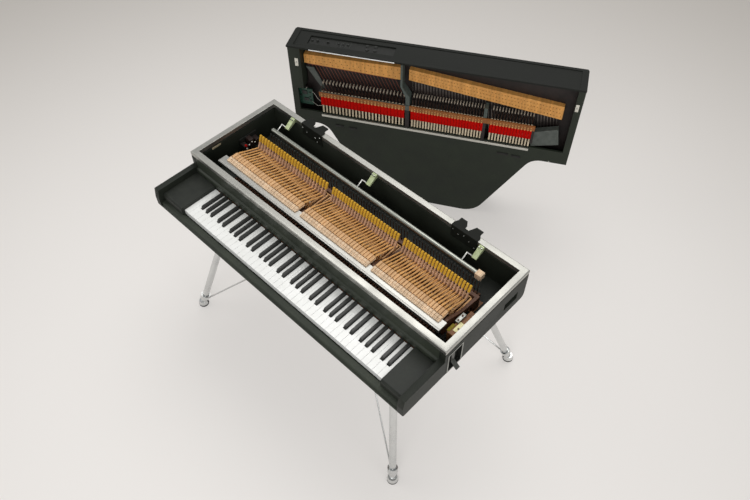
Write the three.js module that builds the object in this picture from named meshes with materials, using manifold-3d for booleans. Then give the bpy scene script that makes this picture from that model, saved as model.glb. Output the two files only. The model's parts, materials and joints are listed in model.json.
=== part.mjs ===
// An electric grand piano, opened: the keyboard section stands on four splayed legs, and
// the harp section, lifted off it, stands on its tail behind. Millimetres, +Z up.
// The keyboard section is laid out from the middle of its case (x), from the fronts of the
// white keys (y) and from the floor (z). The finished group is then moved so that its
// origin is the middle of its footprint on the floor.
import * as THREE from "three";
import { mergeVertices } from "three/addons/utils/BufferGeometryUtils.js";
import Module from "manifold-3d";

const wasm = await Module();
wasm.setup();

// Clearances and tolerances that the whole piano shares
const seatGap = 0.3;
const overrun = 1;
const weldDistance = 0.0001;
const degree = Math.PI / 180;

// Keys
const whitePitch = 23.5;
const whiteCount = 43;
const noteCount = 73;
const whiteLength = 144;
const keyGap = 0.8;
const keyTop = 685;
const capThickness = 3;
const stickHeight = 22;
const stickWidth = 9.2;
const stickTail = 15;
const blackFront = 46;
const blackRise = 11;
const blackClearance = 1.2;
const blackTopTaper = 1.1;
const blackFrontSlope = 6;
const pegSetBack = 30;
const pegWidth = 5;
const pegDepth = 6;
const pegRise = 80;
const semitonesBelowFirst = 4;

// Where the keys balance, and the hinge strips they turn on
const balanceY = 213.5;
const hingeStripWidth = 5;
const hingeStripSpacing = 6;
const hingeStripThickness = 2;
const balanceClearance = 0.5;

// Lower case. Its width follows the keys and the room for a cheek block at each end.
const cheek = {
  leftRoom: 113.5,
  rightRoom: 90,
  front: -13,
  rise: 15,
  roll: 6,
  sideGap: 1,
  backGap: 1,
};
const fallboard = { keyRoom: 3, lean: 7.6, clearance: 3, ledgeRise: 30, ledgeSlope: 4 };
const caseWall = 24;
const caseDropBelowKeys = 46;
const caseFloorThickness = 9;
const caseFront = -34;
const armFront = -27;
const armRise = 40;
const backRoom = 95;
const boxRise = 78;
const gasketHeight = 5;
const gasketInset = 2.5;
const lowerBackRadius = 20;
const frontChamfer = 6;
const rimHeight = 18;
const rimChamfer = 2.5;
const cornerSteps = 4;
const edgeSteps = 2;

const keySpan = whitePitch * whiteCount;
const innerHalf = (cheek.leftRoom + keySpan + cheek.rightRoom) / 2;
const halfCase = innerHalf + caseWall;
const keysLeft = cheek.leftRoom - innerHalf;
const keysRight = keysLeft + keySpan;
const caseBottom = keyTop - caseDropBelowKeys;
const caseFloor = caseBottom + caseFloorThickness;
const boxTop = keyTop + boxRise;
const rimBottom = boxTop + gasketHeight;
const rimTop = rimBottom + rimHeight;
const fallboardFace = whiteLength + fallboard.keyRoom;
const boxFront = fallboardFace + fallboard.lean;
const boxInnerFront = boxFront + caseWall;

// Front slip
const slip = {
  back: -4,
  topDrop: 20,
  topRun: 9,
  beadDrop: 26,
  beadFront: -30,
  grooveFront: -26,
  grooveTopDrop: 30,
  grooveBottomDrop: 33,
  lowerBeadDrop: 35,
  rollRunShare: 0.75,
  rollDropShare: 0.3,
};

// Pockets in the side walls of the case
const latch = {
  frontRoom: 17.4,
  width: 66,
  bottomDrop: 41,
  height: 98,
  depth: 18,
  sheet: 2,
  flange: 4,
  flangeThickness: 1.5,
  pivotDepth: 9,
  pivotRise: 30,
  pinRadius: 2.5,
  leverWidth: 16,
  leverThickness: 4,
  leverDrop: 49,
  leverReach: 26,
  leverHookDrop: 22,
};
const gripRecess = { backRoom: 118, width: 70, bottomDrop: 8, height: 35, depth: 10 };

// Key frame on the case floor
const keyFrame = {
  front: 18,
  frontWidth: 32,
  sheet: 2.5,
  balanceWidth: 34,
  backBeforePegs: 8,
  backWidth: 20,
  sideWidth: 20,
  soleBeforeFeet: 5,
  soleMargin: 9,
};

// The three sections of the action: how many notes, the spacing of the hammers as a share
// of the white keys' spacing, and the gap before the section, where a bracket stands
const sectionTable = [
  { name: "bass", count: 25, pitchShare: 0.6523, gap: -7, bracketRoom: 15.6 },
  { name: "middle", count: 25, pitchShare: 0.5566, gap: 37.1, bracketRoom: 10.6 },
  { name: "treble", count: 23, pitchShare: 0.5434, gap: 32.1, bracketRoom: 13.6 },
];

const sections = [];
sectionTable.forEach((section, i) => {
  const before = i === 0 ? keysLeft : sections[i - 1].lastX;
  const pitch = section.pitchShare * whitePitch;
  const firstX = before + section.gap;
  sections.push({ ...section, pitch, firstX, lastX: firstX + (section.count - 1) * pitch });
});
const firstHammerX = sections[0].firstX;
const lastHammerX = sections[sections.length - 1].lastX;

// Hammers, measured along the shank from the centre pin and square to it
const hammer = {
  behindBalance: 71.5,
  pivotRise: 84,
  restAngle: -20.3,
  width: 8,
  butt: 4.5,
  shankHalf: 3,
  shankLength: 93.5,
  headBack: 102.5,
  headTop: 56,
  tipNarrowing: 2.5,
  tailDrop: 6,
  tailRun: 8,
  knuckleStart: 18,
  knuckleLength: 6,
  knuckleDepth: 4.5,
  hingeBar: 3.5,
};

// Rail that carries the hammers, with one flange for each hammer
const hammerRail = {
  leftMargin: 34.5,
  rightMargin: 26.5,
  beforePivot: 78,
  width: 40,
  topDrop: 4,
  thickness: 10,
  lip: 4,
  flangeLength: 41.2,
  flangeHeight: 9,
  flangeWidth: 8,
  flangeClearance: 1.3,
};

// Wippens: a lever on the key that carries the jack up to the hammer
const wippen = {
  leverLength: 99,
  bottomRise: 9,
  thickness: 8,
  buttLength: 5,
  jackBehindPivot: 26,
  jackThickness: 9,
  width: 6,
  jackGap: 0.8,
  heelBehindJack: 24,
  heelHalf: 2,
  heelGap: 0.5,
  hingeBar: 3,
  railDepth: 14,
  railHeight: 15,
};

// Brackets that stand on the case floor and carry the action rails
const bracket = {
  thickness: 12,
  leftMargin: 20.5,
  crown: 18,
  toeSetBack: 8,
  webRise: 8,
  webSetBack: 33,
  footBeforePivot: 13,
  waistRise: 34,
  waistShare: 0.5,
};
const bracketX = [
  firstHammerX - bracket.leftMargin,
  ...sections.map((section) => section.lastX + section.bracketRoom),
];

// Damper lift rail behind the hammers, with its hanger rods and brackets
const lift = {
  leftMargin: 37.5,
  rightInset: 37.5,
  behindPegs: 39,
  rise: 50,
  radius: 10,
  sides: 12,
  rodRadius: 2.5,
  rodSides: 6,
  hangerReach: 34,
  pivotRise: 69,
  rodBend: 22,
  bracketWidth: 20,
  bracketThickness: 4,
  bracketNose: 6,
  tabDrop: 18,
  blockLength: 24,
  blockSize: 24,
  bracketShares: [0.0494, 0.4826, 0.9622],
};

// Hook plates on the back of the rim, where the harp section hinges
const hookPlate = {
  length: 112,
  thickness: 5,
  reach: 44,
  rootWidth: 14,
  flangeThickness: 3,
  flangeDrop: 50,
  lobeShares: [0.06, 0.4, 0.55, 0.92],
  leftSlopeShare: 0.7,
  rightSlopeShare: 0.3,
  notchShare: 0.45,
  bracketGaps: [40, 11],
};

// Relays on the left wall and the end block on the right wall
const relay = {
  front: 357,
  width: 86,
  bottomDrop: 12,
  height: 50,
  plate: 5,
  depth: 26,
  block: 20,
  placeShares: [0, 0.333, 0.667],
  heightShares: [0.6, 0.9, 0.6],
};
const endBlock = { front: 232, length: 124, width: 36, rise: 62, stepRise: 40, topLength: 90 };

// Legs and braces
const leg = {
  radius: 14,
  sides: 12,
  collarRadius: 21,
  collarLength: 34,
  footRadius: 22,
  footTopRadius: 17,
  footHeight: 26,
  footEdgeShare: 0.333,
  sideInset: 212,
  frontInset: 191,
  backInset: 52,
  sideSpread: 167,
  frontSpread: 181,
  backSpread: 177,
};
const brace = {
  radius: 3.5,
  sides: 6,
  clampRadius: 20,
  clampLength: 22,
  clampRise: 56,
  boreClearance: 0.4,
  anchorX: 30,
  anchorY: 353,
  anchorSpread: 38,
  anchorSize: 24,
  anchorThickness: 5,
};

// Harp section, laid out lying on the keyboard section: x across, y back from its front
// edge, z up from its underside. It stands on its tail, turned, behind the keyboard.
const harp = {
  sideOverhang: 1,
  tailLength: 410,
  depth: 141,
  shoulderBehindBay: 68,
  shoulderWidth: 151,
  tailHalf: 258,
  shoulderRadius: 75,
  tailRadius: 110,
  wall: 18,
  skin: 10,
  back: 12,
  edgeDrop: 22,
  edgeInset: 13,
  outlineSteps: 5,
  lipDrop: 12,
  lipDepth: 8,
  bayRim: 10,
  bayFront: 17,
  leftPostWidth: 28,
  leftPostBeforeBay: 122,
  standX: -270.9,
  standBehind: 548.2,
  turnAngle: 28.76,
  panelInset: 83,
  panelWidth: 381,
  panelLow: 29,
  panelHigh: 89,
  panelDepth: 11,
  faceRecess: 3,
  faceBorder: 27,
};

// Controls in the front of the harp section
const control = {
  plate: 2,
  knobRadius: 7,
  knobHeight: 7,
  knobSides: 12,
  capWidth: 6,
  capLength: 10,
  capHeight: 6,
  volumeInset: 37,
  tremoloInset: 84,
  height: 62,
  sliderInset: 132,
  sliderPitch: 21,
};

// Tuning pin blocks, iron plate and strings
const pinBlock = { low: 30, high: 56, postGap: 4, bassGap: 9, trebleGap: 25, rightRoom: 37 };
const pinBlockBass = { leftY: 62, rightY: 55, leftDepth: 45, rightDepth: 65 };
const pinBlockTreble = { leftY: 59, rightY: 129, leftDepth: 55, rightDepth: 68 };
const ironPlate = { thickness: 6, edgeGap: 3 };
const string = { radius: 1.1, barDepth: 7, barSetBack: 6, barMargin: 6 };
const bassStrings = { z: 40, leftRoom: 12, rightRoom: 29.6, wallRoom: 40, tailRoom: 218 };
const trebleStrings = {
  z: 46,
  leftRoom: 14,
  rightRoom: 21.2,
  firstSlantShare: 0.04,
  lastSlantShare: 0.16,
  firstTailRoom: 268,
  lastBayRoom: 20,
};

// Dampers, their rail and stop rail
const damper = {
  blockGap: 3.6,
  pivotSetBack: 48.5,
  length: 156,
  bayGap: 6,
  low: -2,
  high: 4,
  tipDepth: 13,
  tipGap: 0.6,
  width: 7,
  hingeBar: 4,
};
const trebleDampers = 14;
const damperRail = {
  leftRoom: 102,
  rightRoom: 138,
  beforePivot: 12.5,
  depth: 25,
  thickness: 6,
  turnRoom: 1.2,
};
const stopRail = { leftInset: 4, rightInset: 10, behindBay: 3, depth: 12, height: 9 };
const strut = {
  width: 18,
  high: 37,
  bassFrontShare: 0.3982,
  bassShare: 0.4222,
  trebleShare: 0.7065,
  kneeFront: 130,
  kneeBack: 182,
  trebleWidth: 14,
  blockGap: 13.8,
};
const cornerCasting = {
  railOverlap: 18,
  rightRoom: 26,
  leftSkew: 7.75,
  frontSkew: 31,
  sideSkew: 15.5,
  depth: 83,
  low: 10,
  post: 10,
};
const sidePlate = {
  leftRoom: 36,
  width: 37,
  backWidth: 18.5,
  front: 128,
  railOverlap: 9,
  low: 34,
  thickness: 3,
  postWidth: 7,
  postDepth: 14,
};
const preamp = { width: 67.7, behindPost: 18, depth: 88, low: 24, thickness: 6 };

// Places in the keyboard section that follow from the sizes above, from front to back
const hammerPivotY = balanceY + hammer.behindBalance;
const hammerPivotZ = keyTop + hammer.pivotRise;
const hammerRailFront = hammerPivotY - hammerRail.beforePivot;
const hammerRailTop = hammerPivotZ - hammerRail.topDrop;
const jackBack = hammerPivotY + wippen.jackBehindPivot;
const wippenPivotY = jackBack + wippen.leverLength;
const bracketFootFront = wippenPivotY - bracket.footBeforePivot;
const pegY = wippenPivotY + pegSetBack;
const stickBack = pegY + stickTail;
const boxInnerBack = stickBack + backRoom;
const boxBack = boxInnerBack + caseWall;
const latchFront = boxFront + latch.frontRoom;
const liftLeft = firstHammerX - lift.leftMargin;
const liftRight = lastHammerX - lift.rightInset;
const liftY = pegY + lift.behindPegs;
const hangerY = liftY + lift.hangerReach;
const liftBracketX = lift.bracketShares.map((part) => liftLeft + (liftRight - liftLeft) * part);

// Places in the harp section that follow from the sizes above
const harpHalf = halfCase + harp.sideOverhang;
const bayHalf = harpHalf - harp.wall - harp.bayRim;
const leftPostX = harp.leftPostWidth - bayHalf;
const [bassFrontX, bassStrutX, trebleStrutX] = [
  strut.bassFrontShare,
  strut.bassShare,
  strut.trebleShare,
].map((part) => share(-bayHalf, bayHalf, part));
const bassBlockXs = [leftPostX + pinBlock.postGap, bassFrontX - pinBlock.bassGap];
const trebleBlockXs = [bassFrontX + pinBlock.trebleGap, bayHalf - pinBlock.rightRoom];
const damperRailXs = [damperRail.leftRoom - bayHalf, bayHalf - damperRail.rightRoom];

// The outermost dampers of each section keep these distances from the struts and rail ends
const damperSections = [
  {
    name: "bass",
    count: sections[0].count,
    xs: [damperRailXs[0], bassStrutX],
    rooms: [13, 20.6],
    stringZ: bassStrings.z,
  },
  {
    name: "middle",
    count: sections[1].count,
    xs: [bassStrutX, trebleStrutX],
    rooms: [22, 11.9],
    stringZ: trebleStrings.z,
  },
  {
    name: "treble",
    count: trebleDampers,
    xs: [trebleStrutX, damperRailXs[1]],
    rooms: [29.5, 15.4],
    stringZ: trebleStrings.z,
  },
];
const damperFront = blockBack(pinBlockTreble, trebleBlockXs, damperRailXs[1]) + damper.blockGap;
const damperPivotY = damperFront + damper.pivotSetBack;
const damperBack = damperFront + damper.length;
const bayBack = damperBack + damper.bayGap;
const leftPostBack = bayBack - harp.leftPostBeforeBay;
const shoulder = { x: harpHalf - harp.shoulderWidth, y: bayBack + harp.shoulderBehindBay };
const harpLength = shoulder.y + harp.tailLength;
const panelLeft = harp.panelInset - harpHalf;
const panelRight = panelLeft + harp.panelWidth;

// Materials
function finish(color, roughness, metalness) {
  return new THREE.MeshStandardMaterial({ color, roughness, metalness });
}
const blackVinyl = finish(0x2b2d28, 0.6, 0);
const rimAluminium = finish(0xb4b6b0, 0.35, 0.9);
const whiteKeyPlastic = finish(0xf1efe8, 0.3, 0);
const blackKeyPlastic = finish(0x1e1f1b, 0.35, 0);
const actionWood = finish(0xd2a578, 0.65, 0);
const frameWood = finish(0x8a5a34, 0.7, 0);
const castBrown = finish(0x4b2f1e, 0.6, 0.2);
const chrome = finish(0xc0c0bc, 0.2, 1);
const platedSteel = finish(0x8f9a6b, 0.4, 0.7);
const blackSteel = finish(0x1a1b17, 0.5, 0.4);
const pinBlockWood = finish(0xc8843f, 0.5, 0);
const castIron = finish(0x565b58, 0.55, 0.5);
const stringSteel = finish(0x8a5b46, 0.35, 0.9);
const damperFelt = finish(0xa01208, 0.95, 0);
const railAluminium = finish(0xd6d4cd, 0.4, 0.8);
const boardGreen = finish(0x2c4a3c, 0.6, 0);

// Solids

function solidFrom(geometry) {
  const bare = geometry.clone();
  bare.deleteAttribute("normal");
  bare.deleteAttribute("uv");
  const welded = mergeVertices(bare, weldDistance);
  const vertProperties = new Float32Array(welded.attributes.position.array);
  const triVerts = new Uint32Array(welded.index.array);
  return new wasm.Manifold(new wasm.Mesh({ numProp: 3, vertProperties, triVerts }));
}

function join(solids) {
  return solids.reduce((whole, solid) => whole.add(solid));
}

function middle(range) {
  return (range[0] + range[1]) / 2;
}

function box(xs, ys, zs) {
  const geometry = new THREE.BoxGeometry(xs[1] - xs[0], ys[1] - ys[0], zs[1] - zs[0]);
  geometry.translate(middle(xs), middle(ys), middle(zs));
  return solidFrom(geometry);
}

// A straight prism. Its outline is read as (y, z) along x, as (x, z) along y, and as
// (x, y) along z.
function prism(along, outline, from, to) {
  const shape = new THREE.Shape(outline.map(([first, second]) => new THREE.Vector2(first, second)));
  const geometry = new THREE.ExtrudeGeometry(shape, { depth: to - from, bevelEnabled: false });
  const x = new THREE.Vector3(1, 0, 0);
  const y = new THREE.Vector3(0, 1, 0);
  const z = new THREE.Vector3(0, 0, 1);
  const turn = new THREE.Matrix4();
  if (along === "x") {
    turn.makeBasis(y, z, x);
  }
  if (along === "y") {
    turn.makeBasis(x, z, y.clone().negate());
  }
  geometry.translate(0, 0, along === "y" ? -to : from);
  geometry.applyMatrix4(turn);
  return solidFrom(geometry);
}

function rod(start, end, radius, sides) {
  const from = new THREE.Vector3(...start);
  const to = new THREE.Vector3(...end);
  const along = to.clone().sub(from);
  const geometry = new THREE.CylinderGeometry(radius, radius, along.length(), sides);
  const up = new THREE.Vector3(0, 1, 0);
  geometry.applyQuaternion(new THREE.Quaternion().setFromUnitVectors(up, along.clone().normalize()));
  geometry.translate(...from.add(to).divideScalar(2).toArray());
  return solidFrom(geometry);
}

// A block whose bottom and top are rectangles of different size
function taperedBlock(bottom, top, zs) {
  const corners = [
    [bottom, zs[0]],
    [top, zs[1]],
  ].flatMap(([{ xs, ys }, z]) => [
    [xs[0], ys[0], z],
    [xs[1], ys[0], z],
    [xs[1], ys[1], z],
    [xs[0], ys[1], z],
  ]);
  const quads = [
    [3, 2, 1, 0],
    [4, 5, 6, 7],
    [0, 1, 5, 4],
    [1, 2, 6, 5],
    [2, 3, 7, 6],
    [3, 0, 4, 7],
  ];
  const index = quads.flatMap(([a, b, c, d]) => [a, b, c, a, c, d]);
  const geometry = new THREE.BufferGeometry();
  geometry.setAttribute("position", new THREE.Float32BufferAttribute(corners.flat(), 3));
  geometry.setIndex(index);
  return solidFrom(geometry);
}

// Points of an outline whose corners are rounded: each corner is [x, y, radius]
function rounded(corners, steps) {
  const points = [];
  corners.forEach(([x, y, radius], i) => {
    const corner = new THREE.Vector2(x, y);
    if (!radius) {
      points.push([x, y]);
      return;
    }
    const before = new THREE.Vector2(...corners[(i + corners.length - 1) % corners.length]);
    const after = new THREE.Vector2(...corners[(i + 1) % corners.length]);
    const inward = before.sub(corner).normalize();
    const outward = after.sub(corner).normalize();
    const halfAngle = Math.acos(THREE.MathUtils.clamp(inward.dot(outward), -1, 1)) / 2;
    const bisector = inward.clone().add(outward).normalize();
    const centre = corner.clone().addScaledVector(bisector, radius / Math.sin(halfAngle));
    const tangent = radius / Math.tan(halfAngle);
    const first = corner.clone().addScaledVector(inward, tangent).sub(centre);
    const last = corner.clone().addScaledVector(outward, tangent).sub(centre);
    const sweep = Math.atan2(first.cross(last), first.dot(last));
    for (let k = 0; k <= steps; k += 1) {
      const arm = first.clone().rotateAround(new THREE.Vector2(), (sweep * k) / steps);
      points.push([centre.x + arm.x, centre.y + arm.y]);
    }
  });
  return points;
}

function share(from, to, part) {
  return from + (to - from) * part;
}

function meshOf(name, solid, material) {
  const data = solid.getMesh();
  const geometry = new THREE.BufferGeometry();
  geometry.setAttribute("position", new THREE.BufferAttribute(new Float32Array(data.vertProperties), 3));
  geometry.setIndex(new THREE.BufferAttribute(new Uint32Array(data.triVerts), 1));
  geometry.computeVertexNormals();
  const mesh = new THREE.Mesh(geometry, material);
  mesh.name = name;
  return mesh;
}

// Keyboard layout

const stickTop = keyTop - capThickness;
const stickBottom = stickTop - stickHeight;
const whiteSteps = [0, 2, 4, 5, 7, 9, 11];
const semitones = 12;
const lowerGroupNotes = 5;
const lowerGroupWhites = 3;

// Each note's slot is the width its tail has between the black keys: five equal slots over
// C to E and seven over F to B.
function noteAt(index) {
  const place = index + semitonesBelowFirst;
  const pitchClass = place % semitones;
  const octave = Math.floor(place / semitones);
  const startWhites = whiteSteps.filter((step) => step < semitonesBelowFirst).length;
  const octaveX = keysLeft + (octave * whiteSteps.length - startWhites) * whitePitch;
  const upper = pitchClass >= lowerGroupNotes;
  const groupNotes = upper ? semitones - lowerGroupNotes : lowerGroupNotes;
  const groupWhites = upper ? whiteSteps.length - lowerGroupWhites : lowerGroupWhites;
  const slotWidth = (groupWhites * whitePitch) / groupNotes;
  const groupX = octaveX + (upper ? lowerGroupWhites * whitePitch : 0);
  const slotX = groupX + (upper ? pitchClass - lowerGroupNotes : pitchClass) * slotWidth;
  const whiteIndex = whiteSteps.indexOf(pitchClass);
  return {
    index,
    white: whiteIndex >= 0,
    left: octaveX + whiteIndex * whitePitch,
    slot: [slotX, slotX + slotWidth],
  };
}

const notes = [];
sections.forEach((section) => {
  for (let i = 0; i < section.count && notes.length < noteCount; i += 1) {
    notes.push({
      ...noteAt(notes.length),
      section: section.name,
      hammerX: section.firstX + i * section.pitch,
    });
  }
});

function notesOf(section) {
  return notes.filter((note) => note.section === section.name);
}

function stickOf(note, front) {
  const half = stickWidth / 2;
  const bends = front < whiteLength - overrun ? [front, whiteLength, stickBack] : [front, stickBack];
  const right = bends.map((y) => [stickX(note, y) + half, y]);
  const left = bends.map((y) => [stickX(note, y) - half, y]).reverse();
  const outline = [...right, ...left];
  return prism("z", outline, stickBottom, stickTop);
}

// Where the middle of a key's stick is at a given distance behind the key fronts
function stickX(note, y) {
  const reach = Math.max(0, (y - whiteLength) / (stickBack - whiteLength));
  return share(middle(note.slot), note.hammerX, reach);
}

function pegOf(note) {
  const x = stickX(note, pegY);
  const xs = [x - pegWidth / 2, x + pegWidth / 2];
  return box(xs, [pegY - pegDepth / 2, pegY + pegDepth / 2], [stickTop, keyTop + pegRise]);
}

function hingeStrip(group, y) {
  const xs = [stickX(group[0], y), stickX(group[group.length - 1], y)];
  const ys = [y - hingeStripWidth / 2, y + hingeStripWidth / 2];
  return box(xs, ys, [stickBottom - hingeStripThickness, stickBottom]);
}

function whiteKey(note) {
  const left = note.left + keyGap / 2;
  const right = note.left + whitePitch - keyGap / 2;
  const firstKey = note.index === 0;
  const tailLeft = firstKey ? left : Math.max(left, note.slot[0] + keyGap / 2);
  const tailRight = Math.min(right, note.slot[1] - keyGap / 2);
  const tailFront = blackFront - blackClearance;
  const outline = [
    [left, 0],
    [right, 0],
  ];
  if (tailRight < right) {
    outline.push([right, tailFront], [tailRight, tailFront]);
  }
  outline.push([tailRight, whiteLength], [tailLeft, whiteLength]);
  if (tailLeft > left) {
    outline.push([tailLeft, tailFront], [left, tailFront]);
  }
  const cap = prism("z", outline, stickBottom, keyTop);
  return join([cap, stickOf(note, whiteLength - overrun), pegOf(note)]);
}

function blackKey(note) {
  const xs = [note.slot[0] + blackClearance, note.slot[1] - blackClearance];
  const foot = { xs, ys: [blackFront, whiteLength] };
  const crown = {
    xs: [xs[0] + blackTopTaper, xs[1] - blackTopTaper],
    ys: [blackFront + blackFrontSlope, whiteLength],
  };
  const cap = taperedBlock(foot, crown, [stickTop, keyTop + blackRise]);
  return join([cap, stickOf(note, blackFront), pegOf(note)]);
}

function keySection(section, white) {
  const group = notesOf(section).filter((note) => note.white === white);
  const side = white ? -1 : 1;
  const strip = hingeStrip(group, balanceY + (side * hingeStripSpacing) / 2);
  return join([strip, ...group.map(white ? whiteKey : blackKey)]);
}

// Case, rim and the pieces round the keys

function latchPocket(side) {
  const outer = side * (halfCase + overrun);
  const inner = side * (halfCase - latch.depth - seatGap);
  const xs = [Math.min(outer, inner), Math.max(outer, inner)];
  const low = keyTop - latch.bottomDrop;
  return box(xs, [latchFront, latchFront + latch.width], [low, low + latch.height]);
}

function gripPocket(side) {
  const outer = side * (halfCase + overrun);
  const inner = side * (halfCase - gripRecess.depth);
  const xs = [Math.min(outer, inner), Math.max(outer, inner)];
  const low = keyTop - gripRecess.bottomDrop;
  const front = boxBack - gripRecess.backRoom;
  const ys = [front, front + gripRecess.width];
  return box(xs, ys, [low, low + gripRecess.height]);
}

function lowerCase() {
  const side = rounded(
    [
      [caseFront + frontChamfer, caseBottom, 0],
      [boxBack, caseBottom, lowerBackRadius],
      [boxBack, boxTop, 0],
      [boxFront, boxTop, 0],
      [boxFront, keyTop + armRise, 0],
      [armFront, keyTop + armRise, 0],
      [caseFront, keyTop, 0],
      [caseFront, caseBottom + frontChamfer, 0],
    ],
    cornerSteps,
  );
  const block = prism("x", side, -halfCase, halfCase);
  const well = box(
    [-innerHalf, innerHalf],
    [slip.back, boxInnerBack],
    [caseFloor, rimTop],
  );
  const frontGap = box(
    [-innerHalf, innerHalf],
    [caseFront - overrun, slip.back + overrun],
    [caseBottom - overrun, rimTop],
  );
  const pockets = [-1, 1].flatMap((s) => [latchPocket(s), gripPocket(s)]);
  const tongueInset = [gasketInset, caseWall - gasketInset];
  const tongueZ = [boxTop - overrun, rimBottom];
  const tongueY = [boxFront + gasketInset, boxBack - gasketInset];
  const sideTongues = [-1, 1].map((s) => {
    const ends = tongueInset.map((inset) => s * (halfCase - inset));
    return box([Math.min(...ends), Math.max(...ends)], tongueY, tongueZ);
  });
  const backTongue = box(
    [gasketInset - halfCase, halfCase - gasketInset],
    [boxInnerBack + gasketInset, boxBack - gasketInset],
    tongueZ,
  );
  const hollow = block.subtract(join([well, frontGap, ...pockets]));
  return join([hollow, ...sideTongues, backTongue]);
}

function rimFrame() {
  const outer = box([-halfCase, halfCase], [boxFront, boxBack], [rimBottom, rimTop - rimChamfer]);
  const crown = taperedBlock(
    { xs: [-halfCase, halfCase], ys: [boxFront, boxBack] },
    {
      xs: [rimChamfer - halfCase, halfCase - rimChamfer],
      ys: [boxFront + rimChamfer, boxBack - rimChamfer],
    },
    [rimTop - rimChamfer, rimTop],
  );
  const opening = box(
    [-innerHalf, innerHalf],
    [boxInnerFront, boxInnerBack],
    [rimBottom - overrun, rimTop + overrun],
  );
  return join([outer, crown]).subtract(opening);
}

function keySlip() {
  const topFront = slip.back - slip.topRun;
  const rollY = share(topFront, slip.beadFront, slip.rollRunShare);
  const rollDrop = share(slip.topDrop, slip.beadDrop, slip.rollDropShare);
  const outline = [
    [slip.back - seatGap, caseBottom],
    [slip.back - seatGap, keyTop - slip.topDrop],
    [topFront, keyTop - slip.topDrop],
    [rollY, keyTop - rollDrop],
    [slip.beadFront, keyTop - slip.beadDrop],
    [slip.grooveFront, keyTop - slip.grooveTopDrop],
    [slip.grooveFront, keyTop - slip.grooveBottomDrop],
    [caseFront, keyTop - slip.lowerBeadDrop],
    [caseFront, caseBottom + frontChamfer],
    [caseFront + frontChamfer, caseBottom],
  ];
  return prism("x", outline, seatGap - innerHalf, innerHalf - seatGap);
}

function cheekBlock(xs) {
  const back = fallboardFace - cheek.backGap;
  const top = keyTop + cheek.rise;
  const ledge = keyTop - slip.topDrop + seatGap;
  const outline = [
    [slip.back, caseFloor],
    [back, caseFloor],
    [back, top],
    [cheek.front + cheek.roll, top],
    [cheek.front, top - cheek.roll],
    [cheek.front, ledge],
    [slip.back, ledge],
  ];
  return prism("x", outline, xs[0], xs[1]);
}

function fallBoard() {
  const low = keyTop + fallboard.clearance;
  const ledge = keyTop + fallboard.ledgeRise;
  const outline = [
    [fallboardFace, low],
    [boxInnerFront, low],
    [boxInnerFront, rimBottom],
    [boxFront, rimBottom],
    [boxFront, ledge + fallboard.ledgeSlope],
    [fallboardFace, ledge],
  ];
  return prism("x", outline, seatGap - innerHalf, innerHalf - seatGap);
}

function keyFrameSolid() {
  const left = keysLeft;
  const right = keysRight;
  const sheetTop = caseFloor + keyFrame.sheet;
  const hingeLow = stickBottom - hingeStripThickness;
  const balance = [balanceY - keyFrame.balanceWidth / 2, balanceY + keyFrame.balanceWidth / 2];
  const backFront = pegY - keyFrame.backBeforePegs;
  const back = [backFront, backFront + keyFrame.backWidth];
  const front = [keyFrame.front, keyFrame.front + keyFrame.frontWidth];
  const sides = [
    [left, left + keyFrame.sideWidth],
    [right - keyFrame.sideWidth, right],
  ];
  const soleXs = [bracketX[0] - keyFrame.soleMargin, bracketX[bracketX.length - 1] + keyFrame.soleMargin];
  return join([
    box([left, right], front, [caseFloor, sheetTop]),
    box([left, right], balance, [caseFloor, hingeLow - balanceClearance]),
    box([left, right], back, [caseFloor, stickBottom - seatGap]),
    box(soleXs, [bracketFootFront - keyFrame.soleBeforeFeet, back[1]], [caseFloor, sheetTop]),
    ...sides.map((xs) => box(xs, [front[0], back[1]], [caseFloor, sheetTop])),
  ]);
}

// Action

function hammerOutline() {
  const low = -hammer.shankHalf;
  const high = hammer.shankHalf;
  const knuckleEnd = hammer.knuckleStart + hammer.knuckleLength;
  return [
    [-hammer.butt, low],
    [hammer.knuckleStart, low],
    [middle([hammer.knuckleStart, knuckleEnd]), low - hammer.knuckleDepth],
    [knuckleEnd, low],
    [hammer.headBack - hammer.tailRun, low],
    [hammer.headBack, low - hammer.tailDrop],
    [hammer.headBack - hammer.tipNarrowing, hammer.headTop],
    [hammer.shankLength + hammer.tipNarrowing, hammer.headTop],
    [hammer.shankLength, high],
    [-hammer.butt, high],
  ];
}

function sectionSpan(group) {
  return [group[0].hammerX, group[group.length - 1].hammerX];
}

function hammerSection(section) {
  const group = notesOf(section);
  const outline = hammerOutline();
  const half = hammer.width / 2;
  const hammers = group.map(({ hammerX }) => prism("x", outline, hammerX - half, hammerX + half));
  const low = -hammer.shankHalf;
  const bar = box(
    sectionSpan(group),
    [-hammer.hingeBar / 2, hammer.hingeBar / 2],
    [low - hammer.hingeBar, low],
  );
  return join([bar, ...hammers]);
}

function hammerRailSolid() {
  const top = hammerRailTop;
  const low = top - hammerRail.thickness;
  const front = hammerRailFront;
  const back = front + hammerRail.width;
  const outline = [
    [front, low - hammerRail.lip],
    [front + hammerRail.lip, low - hammerRail.lip],
    [front + hammerRail.lip, low],
    [back, low],
    [back, top],
    [front, top],
  ];
  const left = firstHammerX - hammerRail.leftMargin;
  const rail = prism("x", outline, left, lastHammerX + hammerRail.rightMargin);
  const half = hammerRail.flangeWidth / 2;
  const flangeBack = hammerPivotY - hammer.butt - hammerRail.flangeClearance;
  const flangeYs = [flangeBack - hammerRail.flangeLength, flangeBack];
  const flanges = notes.map(({ hammerX }) =>
    box([hammerX - half, hammerX + half], flangeYs, [top, top + hammerRail.flangeHeight]),
  );
  return join([rail, ...flanges]);
}

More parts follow.
